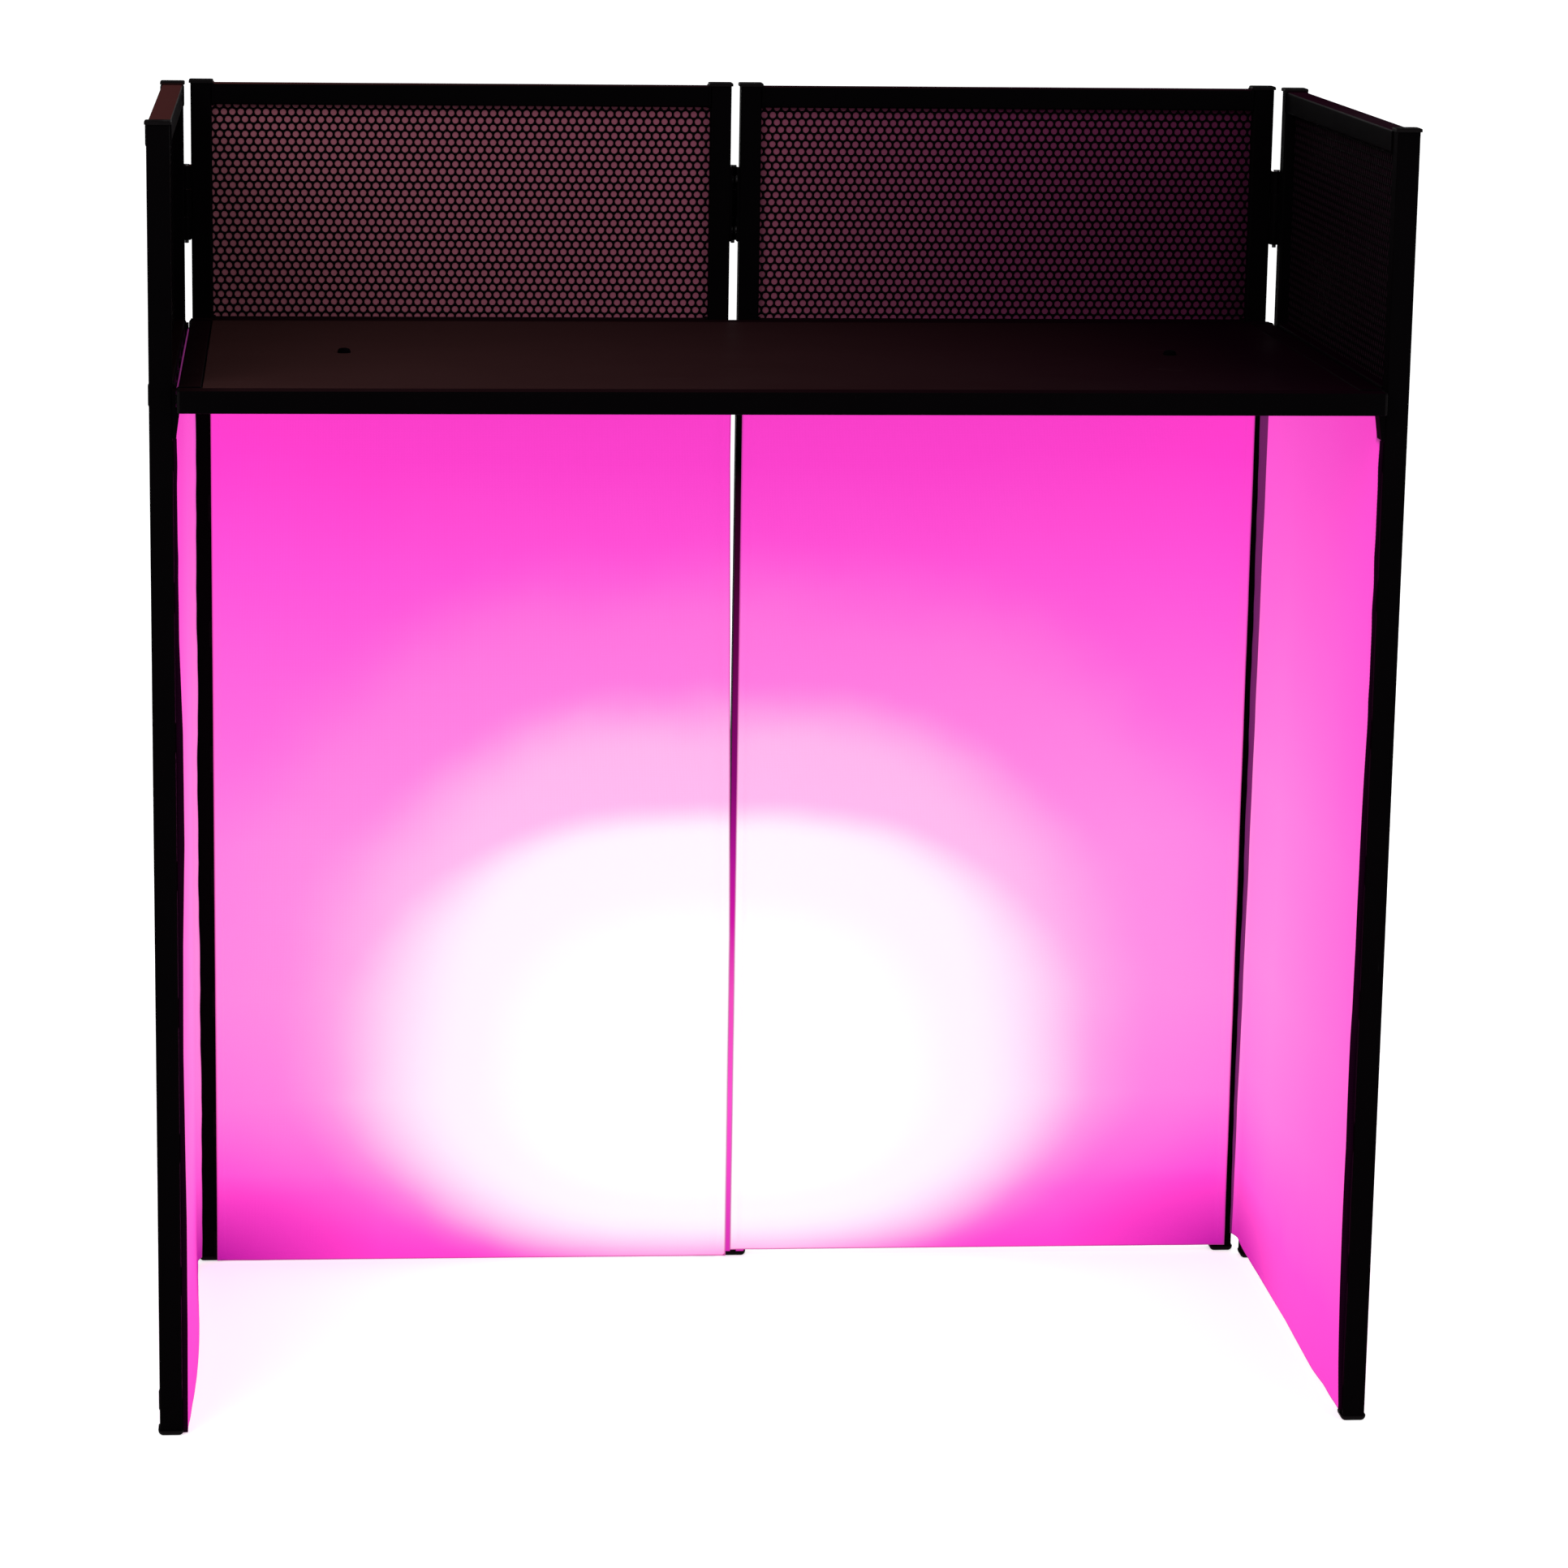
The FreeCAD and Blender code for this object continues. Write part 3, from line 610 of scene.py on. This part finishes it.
def panelPlugs(panel):
    for kind, rim, corner, outward in (("caps", capLook["rim"], capLook["corner"], 1),
                                       ("feet", capLook["footRim"], capLook["footCorner"], -1)):
        node = f"{panel}_{kind}"
        bm = bmesh.new()
        spans = sorted((localSpan(panel, points) for points in solidsOf(node)), key=lambda span: span[0].x)
        for (low, high), post in zip(spans, ("left_post", "right_post")):
            postLow, postHigh = localBox(panel, f"{panel}_{post}")
            if outward > 0:
                low.z = postHigh.z
            else:
                high.z = postLow.z
            addPlug(bm, low, high, 2, outward, rim, corner)
        setPiece(bm, camel(node), plastic, panel, "plastic", [node], places[panel])


# perforated screen: one cell is repeated by doubling, then trimmed to the sheet
perforation = {"hole": 6.2 * mm, "pitch": 8 * mm, "sides": 12, "doubleAcross": 6, "doubleUp": 4,
               "tuckIn": 0.6 * mm}


def perforatedSheet(width, height):
    pitch = perforation["pitch"]
    rowPitch = pitch * math.sqrt(3) / 2
    bm = bmesh.new()
    bmesh.ops.create_circle(bm, cap_ends=False, radius=pitch / math.sqrt(3), segments=6)
    bmesh.ops.subdivide_edges(bm, edges=bm.edges[:], cuts=1)
    bmesh.ops.create_circle(bm, cap_ends=False, radius=perforation["hole"] / 2, segments=perforation["sides"])
    bmesh.ops.bridge_loops(bm, edges=bm.edges[:])

    def double(step):
        copy = bmesh.ops.duplicate(bm, geom=bm.verts[:] + bm.edges[:] + bm.faces[:])["geom"]
        verts = [item for item in copy if isinstance(item, bmesh.types.BMVert)]
        bmesh.ops.translate(bm, vec=step, verts=verts)

    double((pitch / 2, rowPitch, 0))
    for turn in range(perforation["doubleUp"]):
        double((0, 2 * rowPitch * 2 ** turn, 0))
    for turn in range(perforation["doubleAcross"]):
        double((pitch * 2 ** turn, 0, 0))
    bmesh.ops.remove_doubles(bm, verts=bm.verts, dist=weldGap)
    low, high = spanOf([vert.co for vert in bm.verts])
    bmesh.ops.translate(bm, vec=-(low + high) / 2, verts=bm.verts)
    for edge, way in (((width / 2, 0, 0), (1, 0, 0)), ((-width / 2, 0, 0), (-1, 0, 0)),
                      ((0, height / 2, 0), (0, 1, 0)), ((0, -height / 2, 0), (0, -1, 0))):
        bmesh.ops.bisect_plane(bm, geom=bm.verts[:] + bm.edges[:] + bm.faces[:], plane_co=edge, plane_no=way,
                               clear_outer=True)
    return meshOf(bm, "perforatedSheet")


def screens():
    low, high = localBox("front_left", "front_left_screen")
    size = high - low
    leftPost, rightPost = (localBox("front_left", f"front_left_{side}_post") for side in ("left", "right"))
    size.x = rightPost[0].x - leftPost[1].x
    size.x += perforation["tuckIn"]
    sheet = perforatedSheet(size.x, size.z)
    upright = Matrix.Rotation(math.radians(90), 4, "X")
    for panel in turns:
        node = panel + "_screen"
        low, high = localBox(panel, node)
        stand = places[panel] @ Matrix.Translation((low + high) / 2) @ upright
        mesh = sheet.copy()
        mesh.transform(stand)
        piece = setMesh(mesh, camel(node), sheetPaint, panel, "screen", [node])
        wall = piece.modifiers.new("sheetGauge", "SOLIDIFY")
        wall.thickness, wall.offset = size.y, 0.0
        # behind each sheet, a plain sheet painted with the dim, lit room seen through the holes
        bm = bmesh.new()
        bmesh.ops.create_grid(bm, x_segments=24, y_segments=10, size=0.5)
        bmesh.ops.scale(bm, vec=(size.x, size.z, 1), verts=bm.verts)
        inner = setPiece(bm, camel(panel + "_screen_lining"), holeBackdrop, panel, "hook_tab", matrix=stand)


# stretch scrims: hem, stitches and pull creases at the tabs; the side ones have bowed edges, a near hem rolled
# up beside the post, and a far edge that runs on past the post as a loose flap and closes the corner
# roll is how far the near hem stands off the post, up its height, and tuck how far the lower edge is raised,
# from its far end: both are marks, of metres along and millimetres
scrimLook = {
    "cell": 8 * mm, "hemCell": 2.7 * mm, "flapCell": 2.5 * mm, "topCell": 5 * mm, "thick": 0.8 * mm,
    "notchLevel": 0.8976, "notchSide": 19.5 * mm, "hem": 8 * mm, "hemStep": 0.4 * mm, "hemRise": 0.5 * mm,
    "scallops": 7, "depth": 2 * mm, "fade": 45 * mm, "ripple": 0.5 * mm,
    "crease": 0.9 * mm, "creaseReach": 55 * mm, "creaseWave": 9 * mm,
    "stitch": 2.4 * mm, "stitchGap": 3.6 * mm, "stitchIn": 1.5 * mm, "thread": 0.5 * mm,
    "flap": 17 * mm, "flapStart": 12 * mm, "flapLift": {"side_left": 4.4 * mm, "side_right": 5.2 * mm},
    "flapWave": 1.1 * mm, "flapBend": 1.4, "slant": 0.88,
    "nearExtra": 8 * mm, "rollWall": 5.4 * mm, "rollFade": 25 * mm, "rollPack": 0.8, "curl": 2 * mm,
    "roll": {"side_left": [(0.0, 4.6), (0.1, 5.5), (0.2, 5.7), (0.28, 4.9), (0.35, 4.2), (0.45, 4.9),
                           (0.54, 6.9), (0.64, 6.5), (0.72, 4.0), (0.87, 3.3)],
             "side_right": [(0.0, 3.2), (0.05, 4.9), (0.13, 6.9), (0.36, 6.9), (0.44, 5.6), (0.52, 5.7),
                            (0.6, 4.5), (0.7, 3.0), (0.87, 2.6)]},
    "belly": {"side_left": 7 * mm, "side_right": 1.5 * mm}, "bellyReach": 60 * mm, "bellyLean": 0.75,
    "bellyBend": 1.3,
    "tuck": {"side_left": [(0.0, 0), (0.43, 0), (0.5, -3)],
             "side_right": [(0.0, 15), (0.06, 11), (0.27, 10.5), (0.4, 4.5), (0.45, 6.5), (0.51, 5)]},
    "lap": {"front_left": (3.4 * mm, 10 * mm)}, "lapSpan": (0.8, 0.33),
    "startShift": {"front_left": 3.6 * mm}, "drop": {"front_left": 3.6 * mm, "front_right": -2.5 * mm}}
# the least room between a hem's line or the notch and the next line of the grid
gridRoom = {"hem": 2 * mm, "notch": 4 * mm}
rimMark = {"roll": 2.0, "edge": 1.0, "plain": 0.0}

panelWidth = localBox("front_left", "front_left_right_post")[1].x


def stops(low, high, cell):
    count = max(1, round((high - low) / cell))
    return [low + (high - low) * i / count for i in range(count)]


# a measure in millimetres that changes evenly between marks
def along(marks, spot):
    for (start, low), (end, high) in zip(marks, marks[1:]):
        if spot <= end:
            return (low + (high - low) * max(0.0, (spot - start) / (end - start))) * mm
    return marks[-1][1] * mm


def clamped(share):
    return min(max(share, 0.0), 1.0)


class Scrim:
    def __init__(self, panel, seed):
        look = scrimLook
        self.panel, self.seed, self.isSide = panel, seed, "side" in panel
        low, high = localBox(panel, panel + "_scrim")
        low.x += look["startShift"].get(panel, 0.0)
        low.z -= look["drop"].get(panel, 0.0)
        # cloth past the tabs: out to the corner at the far end of a side panel, none elsewhere
        extra = look["flap"] - (look["flapStart"] - (panelWidth - high.x))
        self.flapLeft = extra if panel == "side_right" else 0.0
        self.flapRight = extra if panel == "side_left" else 0.0
        if self.flapLeft:
            high.x += look["nearExtra"]
        if self.flapRight:
            low.x -= look["nearExtra"]
        self.low, self.high = low, high
        self.first, self.last = low.x - self.flapLeft, high.x + self.flapRight
        self.sideways = -1 if self.flapLeft else 1
        self.fold = look["flapStart"] if self.flapLeft else panelWidth - look["flapStart"]
        # the top corners are notched outside left and right, above level
        self.left, self.right = look["notchSide"], panelWidth - look["notchSide"]
        self.level = look["notchLevel"]
        self.pull = (self.level - low.z) / look["scallops"]

    def gridLines(self):
        look, low, high, first, last = scrimLook, self.low, self.high, self.first, self.last
        hem, step, hemCell, flapCell = look["hem"], look["hemStep"], look["hemCell"], look["flapCell"]
        room, gap = gridRoom["hem"], gridRoom["notch"]
        columns = stops(first, first + hem, hemCell) + [first + hem, first + hem + step]
        if self.flapLeft:
            columns += stops(first + hem + step + room, self.left, flapCell)
        columns += stops(self.left, self.right, look["cell"]) + [self.right]
        if self.flapRight:
            columns += stops(self.right, last - hem - step - room, flapCell)[1:]
        columns += [last - hem - step] + stops(last - hem, last, hemCell) + [last]
        rows = stops(low.z, low.z + hem, hemCell) + [low.z + hem, low.z + hem + step]
        rows += stops(low.z + hem + gap, self.level, look["cell"]) + [self.level]
        rows += stops(self.level + gap, high.z - hem - step, look["topCell"])
        rows += [high.z - hem - step] + stops(high.z - hem, high.z, hemCell) + [high.z]
        return columns, rows

    def fromNear(self, across):
        return across - self.first if self.flapRight else self.last - across

    # how far the edge bows in between two tabs
    def bow(self, up):
        phase = min(max((up - self.low.z) / self.pull, 0.0), scrimLook["scallops"]) % 1.0
        return scrimLook["depth"] * 4 * phase * (1 - phase) if up < self.level else 0.0

    # the shape of the cloth: where a point of the flat sheet comes to lie
    def point(self, across, up):
        look, low = scrimLook, self.low
        edge, tab = min(across - self.first, self.last - across), math.cos(math.tau * (up - low.z) / self.pull)
        crease = look["crease"] * math.exp(-edge / look["creaseReach"])
        lift = crease * (0.5 + 0.5 * tab) * (0.5 + 0.5 * math.sin(edge / look["creaseWave"] + 3 * tab))
        lift += look["ripple"] * (0.5 + 0.5 * noise.noise((across * 7 + 11 * self.seed, up * 5, 2.5)))
        hemmed = min(edge, up - low.z, self.high.z - up) < look["hem"] + hair
        lift += look["hemRise"] if hemmed else 0.0
        if self.isSide:
            return self.sidePoint(across, up, lift, tab)
        # the seam's gap closes towards the floor
        start, end = look["lapSpan"]
        least, most = look["lap"].get(self.panel, (0.0, 0.0))
        lap = least + (most - least) * clamped((start - up) / (start - end))
        return Vector((across + lap * math.exp(-(self.last - across) / look["fade"]), low.y - lift, up))

    def sidePoint(self, across, up, lift, tab):
        look, low, panel, sideways = scrimLook, self.low, self.panel, self.sideways
        near = self.fromNear(across)
        far = self.last - across if self.flapRight else across - self.first
        place = across + sideways * self.bow(up) * math.exp(-near / look["fade"])
        # the near hem is a roll that stands off the post
        wall = look["rollWall"]
        turned = math.sin(math.pi / 2 * min(near / wall, 1.0))
        stand = along(look["roll"][panel], up) + low.y
        lift = max(lift, stand * math.exp(-max(0.0, near - wall) / look["rollFade"]))
        lift = lift * turned - look["curl"] * (1 - turned)
        place += sideways * look["rollPack"] * max(0.0, wall - near)
        # the far edge is a loose flap
        loose = max(0.0, (across - self.fold) * sideways)
        place -= sideways * loose * (1 - look["slant"])
        drift = noise.noise((self.seed * 9.1, up * 9, 0.4))
        wave = look["flapLift"][panel] + look["flapWave"] * (drift * 1.4 - 0.5 * tab)
        lift += wave * (loose / look["flap"]) ** look["flapBend"]
        # the lower edge bellies in and is raised in places
        sag = math.exp(-(up - low.z) / look["bellyReach"])
        middle = math.sin(math.pi * clamped(near / (self.last - self.first)) ** look["bellyLean"])
        lift += look["belly"][panel] * middle ** look["bellyBend"] * sag
        return Vector((place, low.y - lift, up + along(look["tuck"][panel], far) * sag))

    def sheetMesh(self):
        columns, rows = self.gridLines()
        wide, tall = len(columns) - 1, len(rows) - 1
        bm = bmesh.new()
        rim = bm.verts.layers.float.new("rim")
        verts = bmesh.ops.create_grid(bm, x_segments=wide, y_segments=tall, size=0.5)["verts"]
        spots = {}
        for vert in verts:
            i, j = round((vert.co.x + 0.5) * wide), round((vert.co.y + 0.5) * tall)
            spots[vert] = (columns[i], rows[j])
        for vert, (across, up) in spots.items():
            vert.co = self.point(across, up)
        out = [face for face in bm.faces
               if min(spots[vert][1] for vert in face.verts) >= self.level - hair
               and (max(spots[vert][0] for vert in face.verts) <= self.left + hair
                    or min(spots[vert][0] for vert in face.verts) >= self.right - hair)]
        bmesh.ops.delete(bm, geom=out, context="FACES")
        for vert in bm.verts:
            rolled = self.isSide and self.fromNear(spots[vert][0]) < scrimLook["rollWall"]
            vert[rim] = rimMark["roll" if rolled else "edge" if vert.is_boundary else "plain"]
        bmesh.ops.transform(bm, matrix=places[self.panel], verts=bm.verts)
        return meshOf(bm, camel(self.panel + "_scrim"))

    # running stitch along the hem
    def stitches(self):
        gap, inset = scrimLook["stitchGap"], scrimLook["hem"] - scrimLook["stitchIn"]
        lines = []
        up = self.low.z + inset
        while up < self.level - inset:
            lines += [((self.first + inset, up), 2), ((self.last - inset, up), 2)]
            up += gap
        across = self.first + inset
        while across < self.last - inset:
            lines.append(((across, self.low.z + inset), 0))
            if self.left + inset < across < self.right - inset:
                lines.append(((across, self.high.z - inset), 0))
            across += gap
        bm = bmesh.new()
        for (across, up), axis in lines:
            made = bmesh.ops.create_icosphere(bm, subdivisions=1, radius=0.5)["verts"]
            size = [scrimLook["thread"]] * 3
            size[axis] = scrimLook["stitch"]
            bmesh.ops.scale(bm, vec=size, verts=made)
            bmesh.ops.translate(bm, vec=self.point(across, up), verts=made)
        return bm


def scrims():
    for seed, panel in enumerate(turns):
        node, scrim = panel + "_scrim", Scrim(panel, seed)
        piece = setMesh(scrim.sheetMesh(), camel(node), cloth, panel, "scrim", [node], smoothTo["cloth"])
        gauge = piece.modifiers.new("clothGauge", "SOLIDIFY")
        gauge.thickness, gauge.offset = scrimLook["thick"], -1.0
        stitches = setPiece(scrim.stitches(), camel(panel + "_scrim_stitches"), cloth, panel, "scrim",
                            matrix=places[panel])
        first, last = scrim.first, scrim.last
        flat = (last - first, scrim.high.z - scrim.low.z)
        notches = (scrim.left - first + last - scrim.right) * (scrim.high.z - scrim.level)
        area = flat[0] * flat[1] - notches


# hook-and-loop tabs: two layers of tape with eased corners
tabLook = {"corner": 1 * mm, "halfGap": 0.06 * mm}


def tabs():
    for panel in turns:
        node = panel + "_scrim_tabs"
        bm = bmesh.new()
        for points in solidsOf(node):
            low, high = localSpan(panel, points)
            half = (low.y + high.y) / 2
            for bottom, top in ((low.y, half - tabLook["halfGap"]), (half + tabLook["halfGap"], high.y)):
                addBar(bm, (low.x, bottom, low.z), (high.x, top, high.z), 1, tabLook["corner"], 3)
        setPiece(bm, camel(node), tape, panel, "hook_tab", [node], places[panel])


# a CAD node carried over with eased edges
polishLook = {"flat": 1, "sharp": 50, "leaf": 0.35 * mm, "pin": 0.5 * mm, "bracket": 0.5 * mm}


def polish(node, material, body, slot, width, steps=2):
    bm = copyOf(node)
    bmesh.ops.dissolve_limit(bm, angle_limit=math.radians(polishLook["flat"]), verts=bm.verts, edges=bm.edges)
    angle = math.radians(polishLook["sharp"])
    sharp = [edge for edge in bm.edges if len(edge.link_faces) == 2 and edge.calc_face_angle() > angle]
    ease(bm, sharp, width, steps)
    return setPiece(bm, camel(node), material, body, slot, [node])


# button-head screws with a hexagon socket; the head's profile is in shares of its radius and height
screwLook = {"profile": [(0.97, 0.0), (1.0, 0.2), (0.92, 0.6)], "shoulder": 0.9, "crown": 0.55, "socket": 0.42,
             "sink": 0.6, "sides": 24, "turn": 1.3}


def screwsOf(node):
    found = []
    for points in solidsOf(node):
        low, high = spanOf(points)
        size = high - low
        axis = max(range(3), key=lambda i: size[i])
        middle = (low + high) / 2

        def radiusAt(place):
            level = [p for p in points if abs(p[axis] - place) < 0.1 * mm]
            return max(math.hypot(*[p[i] - middle[i] for i in range(3) if i != axis]) for p in level)

        lowRadius, highRadius = radiusAt(low[axis]), radiusAt(high[axis])
        headLow = lowRadius > highRadius
        levels = sorted({round(p[axis], 5) for p in points})
        way = Vector((0, 0, 0))
        way[axis] = -1 if headLow else 1
        seat = Vector(middle)
        seat[axis] = levels[1] if headLow else levels[-2]
        headHeight = abs((low[axis] if headLow else high[axis]) - seat[axis])
        found.append((seat, way, max(lowRadius, highRadius), headHeight, min(lowRadius, highRadius),
                      size[axis] - headHeight))
    return found


def screwMesh(headRadius, headHeight, shankRadius, length):
    sides, socket = screwLook["sides"], screwLook["socket"] * headRadius
    flat, shoulder = headRadius * screwLook["crown"], screwLook["shoulder"] * headHeight
    bm = bmesh.new()
    outline = [(shankRadius, -length), (shankRadius, 0.0)]
    outline += [(headRadius * out, up * headHeight) for out, up in screwLook["profile"]]
    outline += [((headRadius + flat) / 2, shoulder), (flat, headHeight)]
    verts = [bm.verts.new((radius, 0, height)) for radius, height in outline]
    edges = [bm.edges.new(pair) for pair in zip(verts, verts[1:])]
    bmesh.ops.spin(bm, geom=verts + edges, cent=(0, 0, 0), axis=(0, 0, 1), angle=math.tau, steps=sides,
                   use_merge=True)
    bmesh.ops.remove_doubles(bm, verts=bm.verts, dist=1e-7)
    rim = [edge for edge in bm.edges if edge.is_boundary and edge.verts[0].co.z > shoulder]
    hexagon = bmesh.ops.create_circle(bm, cap_ends=False, radius=socket, segments=6)["verts"]
    bmesh.ops.translate(bm, vec=(0, 0, headHeight), verts=hexagon)
    bmesh.ops.subdivide_edges(bm, edges=edgesOf(hexagon), cuts=sides // 6 - 1)
    inner = [edge for edge in bm.edges if edge.is_wire]
    bmesh.ops.bridge_loops(bm, edges=rim + inner)
    wall = bmesh.ops.extrude_edge_only(bm, edges=inner)["geom"]
    sunk = [item for item in wall if isinstance(item, bmesh.types.BMVert)]
    bmesh.ops.translate(bm, vec=(0, 0, -screwLook["sink"] * headHeight), verts=sunk)
    bmesh.ops.contextual_create(bm, geom=[item for item in wall if isinstance(item, bmesh.types.BMEdge)])
    bmesh.ops.contextual_create(bm, geom=[edge for edge in bm.edges if edge.is_boundary])
    bmesh.ops.recalc_face_normals(bm, faces=bm.faces)
    return meshOf(bm, "screw")


def screwGroup(node, material, body, slot):
    screws = screwsOf(node)
    one = screwMesh(*screws[0][2:])
    bm = bmesh.new()
    for index, (seat, way, *sizes) in enumerate(screws):
        start = len(bm.verts)
        bm.from_mesh(one)
        bm.verts.ensure_lookup_table()
        turn = way.to_track_quat("Z", "Y").to_matrix().to_4x4()
        turn = turn @ Matrix.Rotation(index * screwLook["turn"], 4, "Z")
        bmesh.ops.transform(bm, matrix=Matrix.Translation(seat) @ turn, verts=bm.verts[start:])
    bpy.data.meshes.remove(one)
    return setPiece(bm, camel(node), material, body, slot, [node])


# table
tableLook = {"boardEdge": 0.7 * mm, "plugRim": 0.7 * mm}


def tablePieces():
    for part, axis in (("front_tube", 0), ("back_tube", 0), ("left_tube", 1), ("right_tube", 1)):
        node = "table_" + part
        setTube(node, *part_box(node), axis, axis == 1, paint, "table")
    bm = bmesh.new()
    ease(bm, edgesOf(addBlock(bm, *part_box("table_board"))), tableLook["boardEdge"], 3)
    setPiece(bm, "tableBoard", laminate, "table", "board", ["table_board"])
    bm = bmesh.new()
    tubeLow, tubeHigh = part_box("table_front_tube")
    for points in solidsOf("table_plugs"):
        low, high = spanOf(points)
        outward = 1 if low.x > 0 else -1
        if outward > 0:
            low.x = tubeHigh.x
        else:
            high.x = tubeLow.x
        addPlug(bm, low, high, 0, outward, tableLook["plugRim"])
    setPiece(bm, "tablePlugs", plastic, "table", "plastic", ["table_plugs"])
    bm = bmesh.new()
    for points in solidsOf("table_cross_bars"):
        addBar(bm, *spanOf(points), 1, tubeLook["corner"])
    setPiece(bm, "tableCrossBars", paint, "table", "frame", ["table_cross_bars"])
    screwGroup("table_bolts", boltMetal, "table", "bolt")


for panel in turns:
    panelTubes(panel)
    panelPlugs(panel)
    polish(panel + "_hinge_leaves", hingeMetal, panel, "hinge", polishLook["leaf"])
    screwGroup(panel + "_screws", pinMetal, panel, "steel")
print("panel frames made")
for panel in ("front_left", "front_right"):
    polish(panel + "_hinge_pins", pinMetal, panel, "steel", polishLook["pin"], 3)
for panel in ("side_left", "side_right"):
    polish(panel + "_brackets", paint, panel, "frame", polishLook["bracket"])
screens()
print("screens made")
scrims()
tabs()
print("scrims made")
tablePieces()
print("table made")

# stage: pale floor, soft light all round and three large lamps, each with its place and power
stageLook = {"floor": rgb(0.9, 0.9, 0.9), "floorSize": 40.0, "lift": 0.62, "world": 0.62, "lampSize": 2.6,
             "aim": (0, 0, 0.6),
             "lamps": {"keyLight": ((-2.6, -3.6, 3.4), 80), "fillLight": ((3.2, -3.0, 2.2), 40),
                       "backLight": ((0.6, 3.6, 3.0), 40)}}


# 1 where the stage is seen, by the camera, in metal or through glass
def seenRays(finish):
    rays = finish.node("ShaderNodeLightPath")
    seen = rays
    for name in ("Is Glossy Ray", "Is Transmission Ray"):
        seen = seen.calc("MAXIMUM", Socket(finish, rays.link.node.outputs[name]))
    return seen


def layFloor():
    bm = bmesh.new()
    bmesh.ops.create_grid(bm, x_segments=1, y_segments=1, size=stageLook["floorSize"])
    mesh = meshOf(bm, "floor")
    floor = bpy.data.objects.new("floor", mesh)
    bpy.context.scene.collection.objects.link(floor)
    finish = Finish("paleFloor")
    matte = finish.node("ShaderNodeBsdfDiffuse", inputs={"Color": stageLook["floor"]})
    white = finish.node("ShaderNodeEmission", inputs={"Color": pureWhite, "Strength": stageLook["lift"]})
    both = finish.node("ShaderNodeAddShader", inputs={0: matte, 1: white})
    shown = finish.node("ShaderNodeMixShader", inputs={0: seenRays(finish), 1: matte, 2: both})
    finish.node("ShaderNodeOutputMaterial", inputs={"Surface": shown})
    mesh.materials.append(finish.material)


def lightStage():
    world = bpy.data.worlds.new("studio")
    bpy.context.scene.world = world
    air = Finish("studio", world)
    light, white = (air.node("ShaderNodeBackground", inputs={"Color": pureWhite, "Strength": strength})
                    for strength in (stageLook["world"], 1.0))
    shown = air.node("ShaderNodeMixShader", inputs={0: seenRays(air), 1: light, 2: white})
    air.node("ShaderNodeOutputWorld", inputs={"Surface": shown})
    for name, (spot, power) in stageLook["lamps"].items():
        lamp = bpy.data.lights.new(name, "AREA")
        lamp.size, lamp.energy = stageLook["lampSize"], power
        holder = bpy.data.objects.new(name, lamp)
        holder.location = spot
        way = Vector(stageLook["aim"]) - Vector(spot)
        holder.rotation_euler = way.to_track_quat("-Z", "Y").to_euler()
        bpy.context.scene.collection.objects.link(holder)


layFloor()
lightStage()
print("stage made")

# camera, from the photograph's own perspective
cameraLook = {"spot": (-0.41443, -4.4872, 1.4854), "yaw": 0.07291, "pitch": 0.21762, "roll": 0.01156,
              "focalPixels": 6096.3, "axisPixel": (810.0, 1030.0), "frame": 1932.0, "sensor": 36.0,
              "end": 200.0}


def aimCamera():
    look, frameSize = cameraLook, cameraLook["frame"]
    lens = bpy.data.cameras.new("photoLens")
    lens.sensor_width = look["sensor"]
    lens.lens = look["focalPixels"] / frameSize * look["sensor"]
    lens.shift_x = 0.5 - look["axisPixel"][0] / frameSize
    lens.shift_y = look["axisPixel"][1] / frameSize - 0.5
    lens.clip_end = look["end"]
    holder = bpy.data.objects.new("photoCamera", lens)
    turn = (Matrix.Rotation(-look["yaw"], 4, "Z") @ Matrix.Rotation(math.pi / 2 - look["pitch"], 4, "X")
            @ Matrix.Rotation(look["roll"], 4, "Z"))
    holder.matrix_world = Matrix.Translation(look["spot"]) @ turn
    bpy.context.scene.collection.objects.link(holder)
    bpy.context.scene.camera = holder


aimCamera()
bpy.context.scene.view_settings.view_transform = "Standard"
print("scene ready")
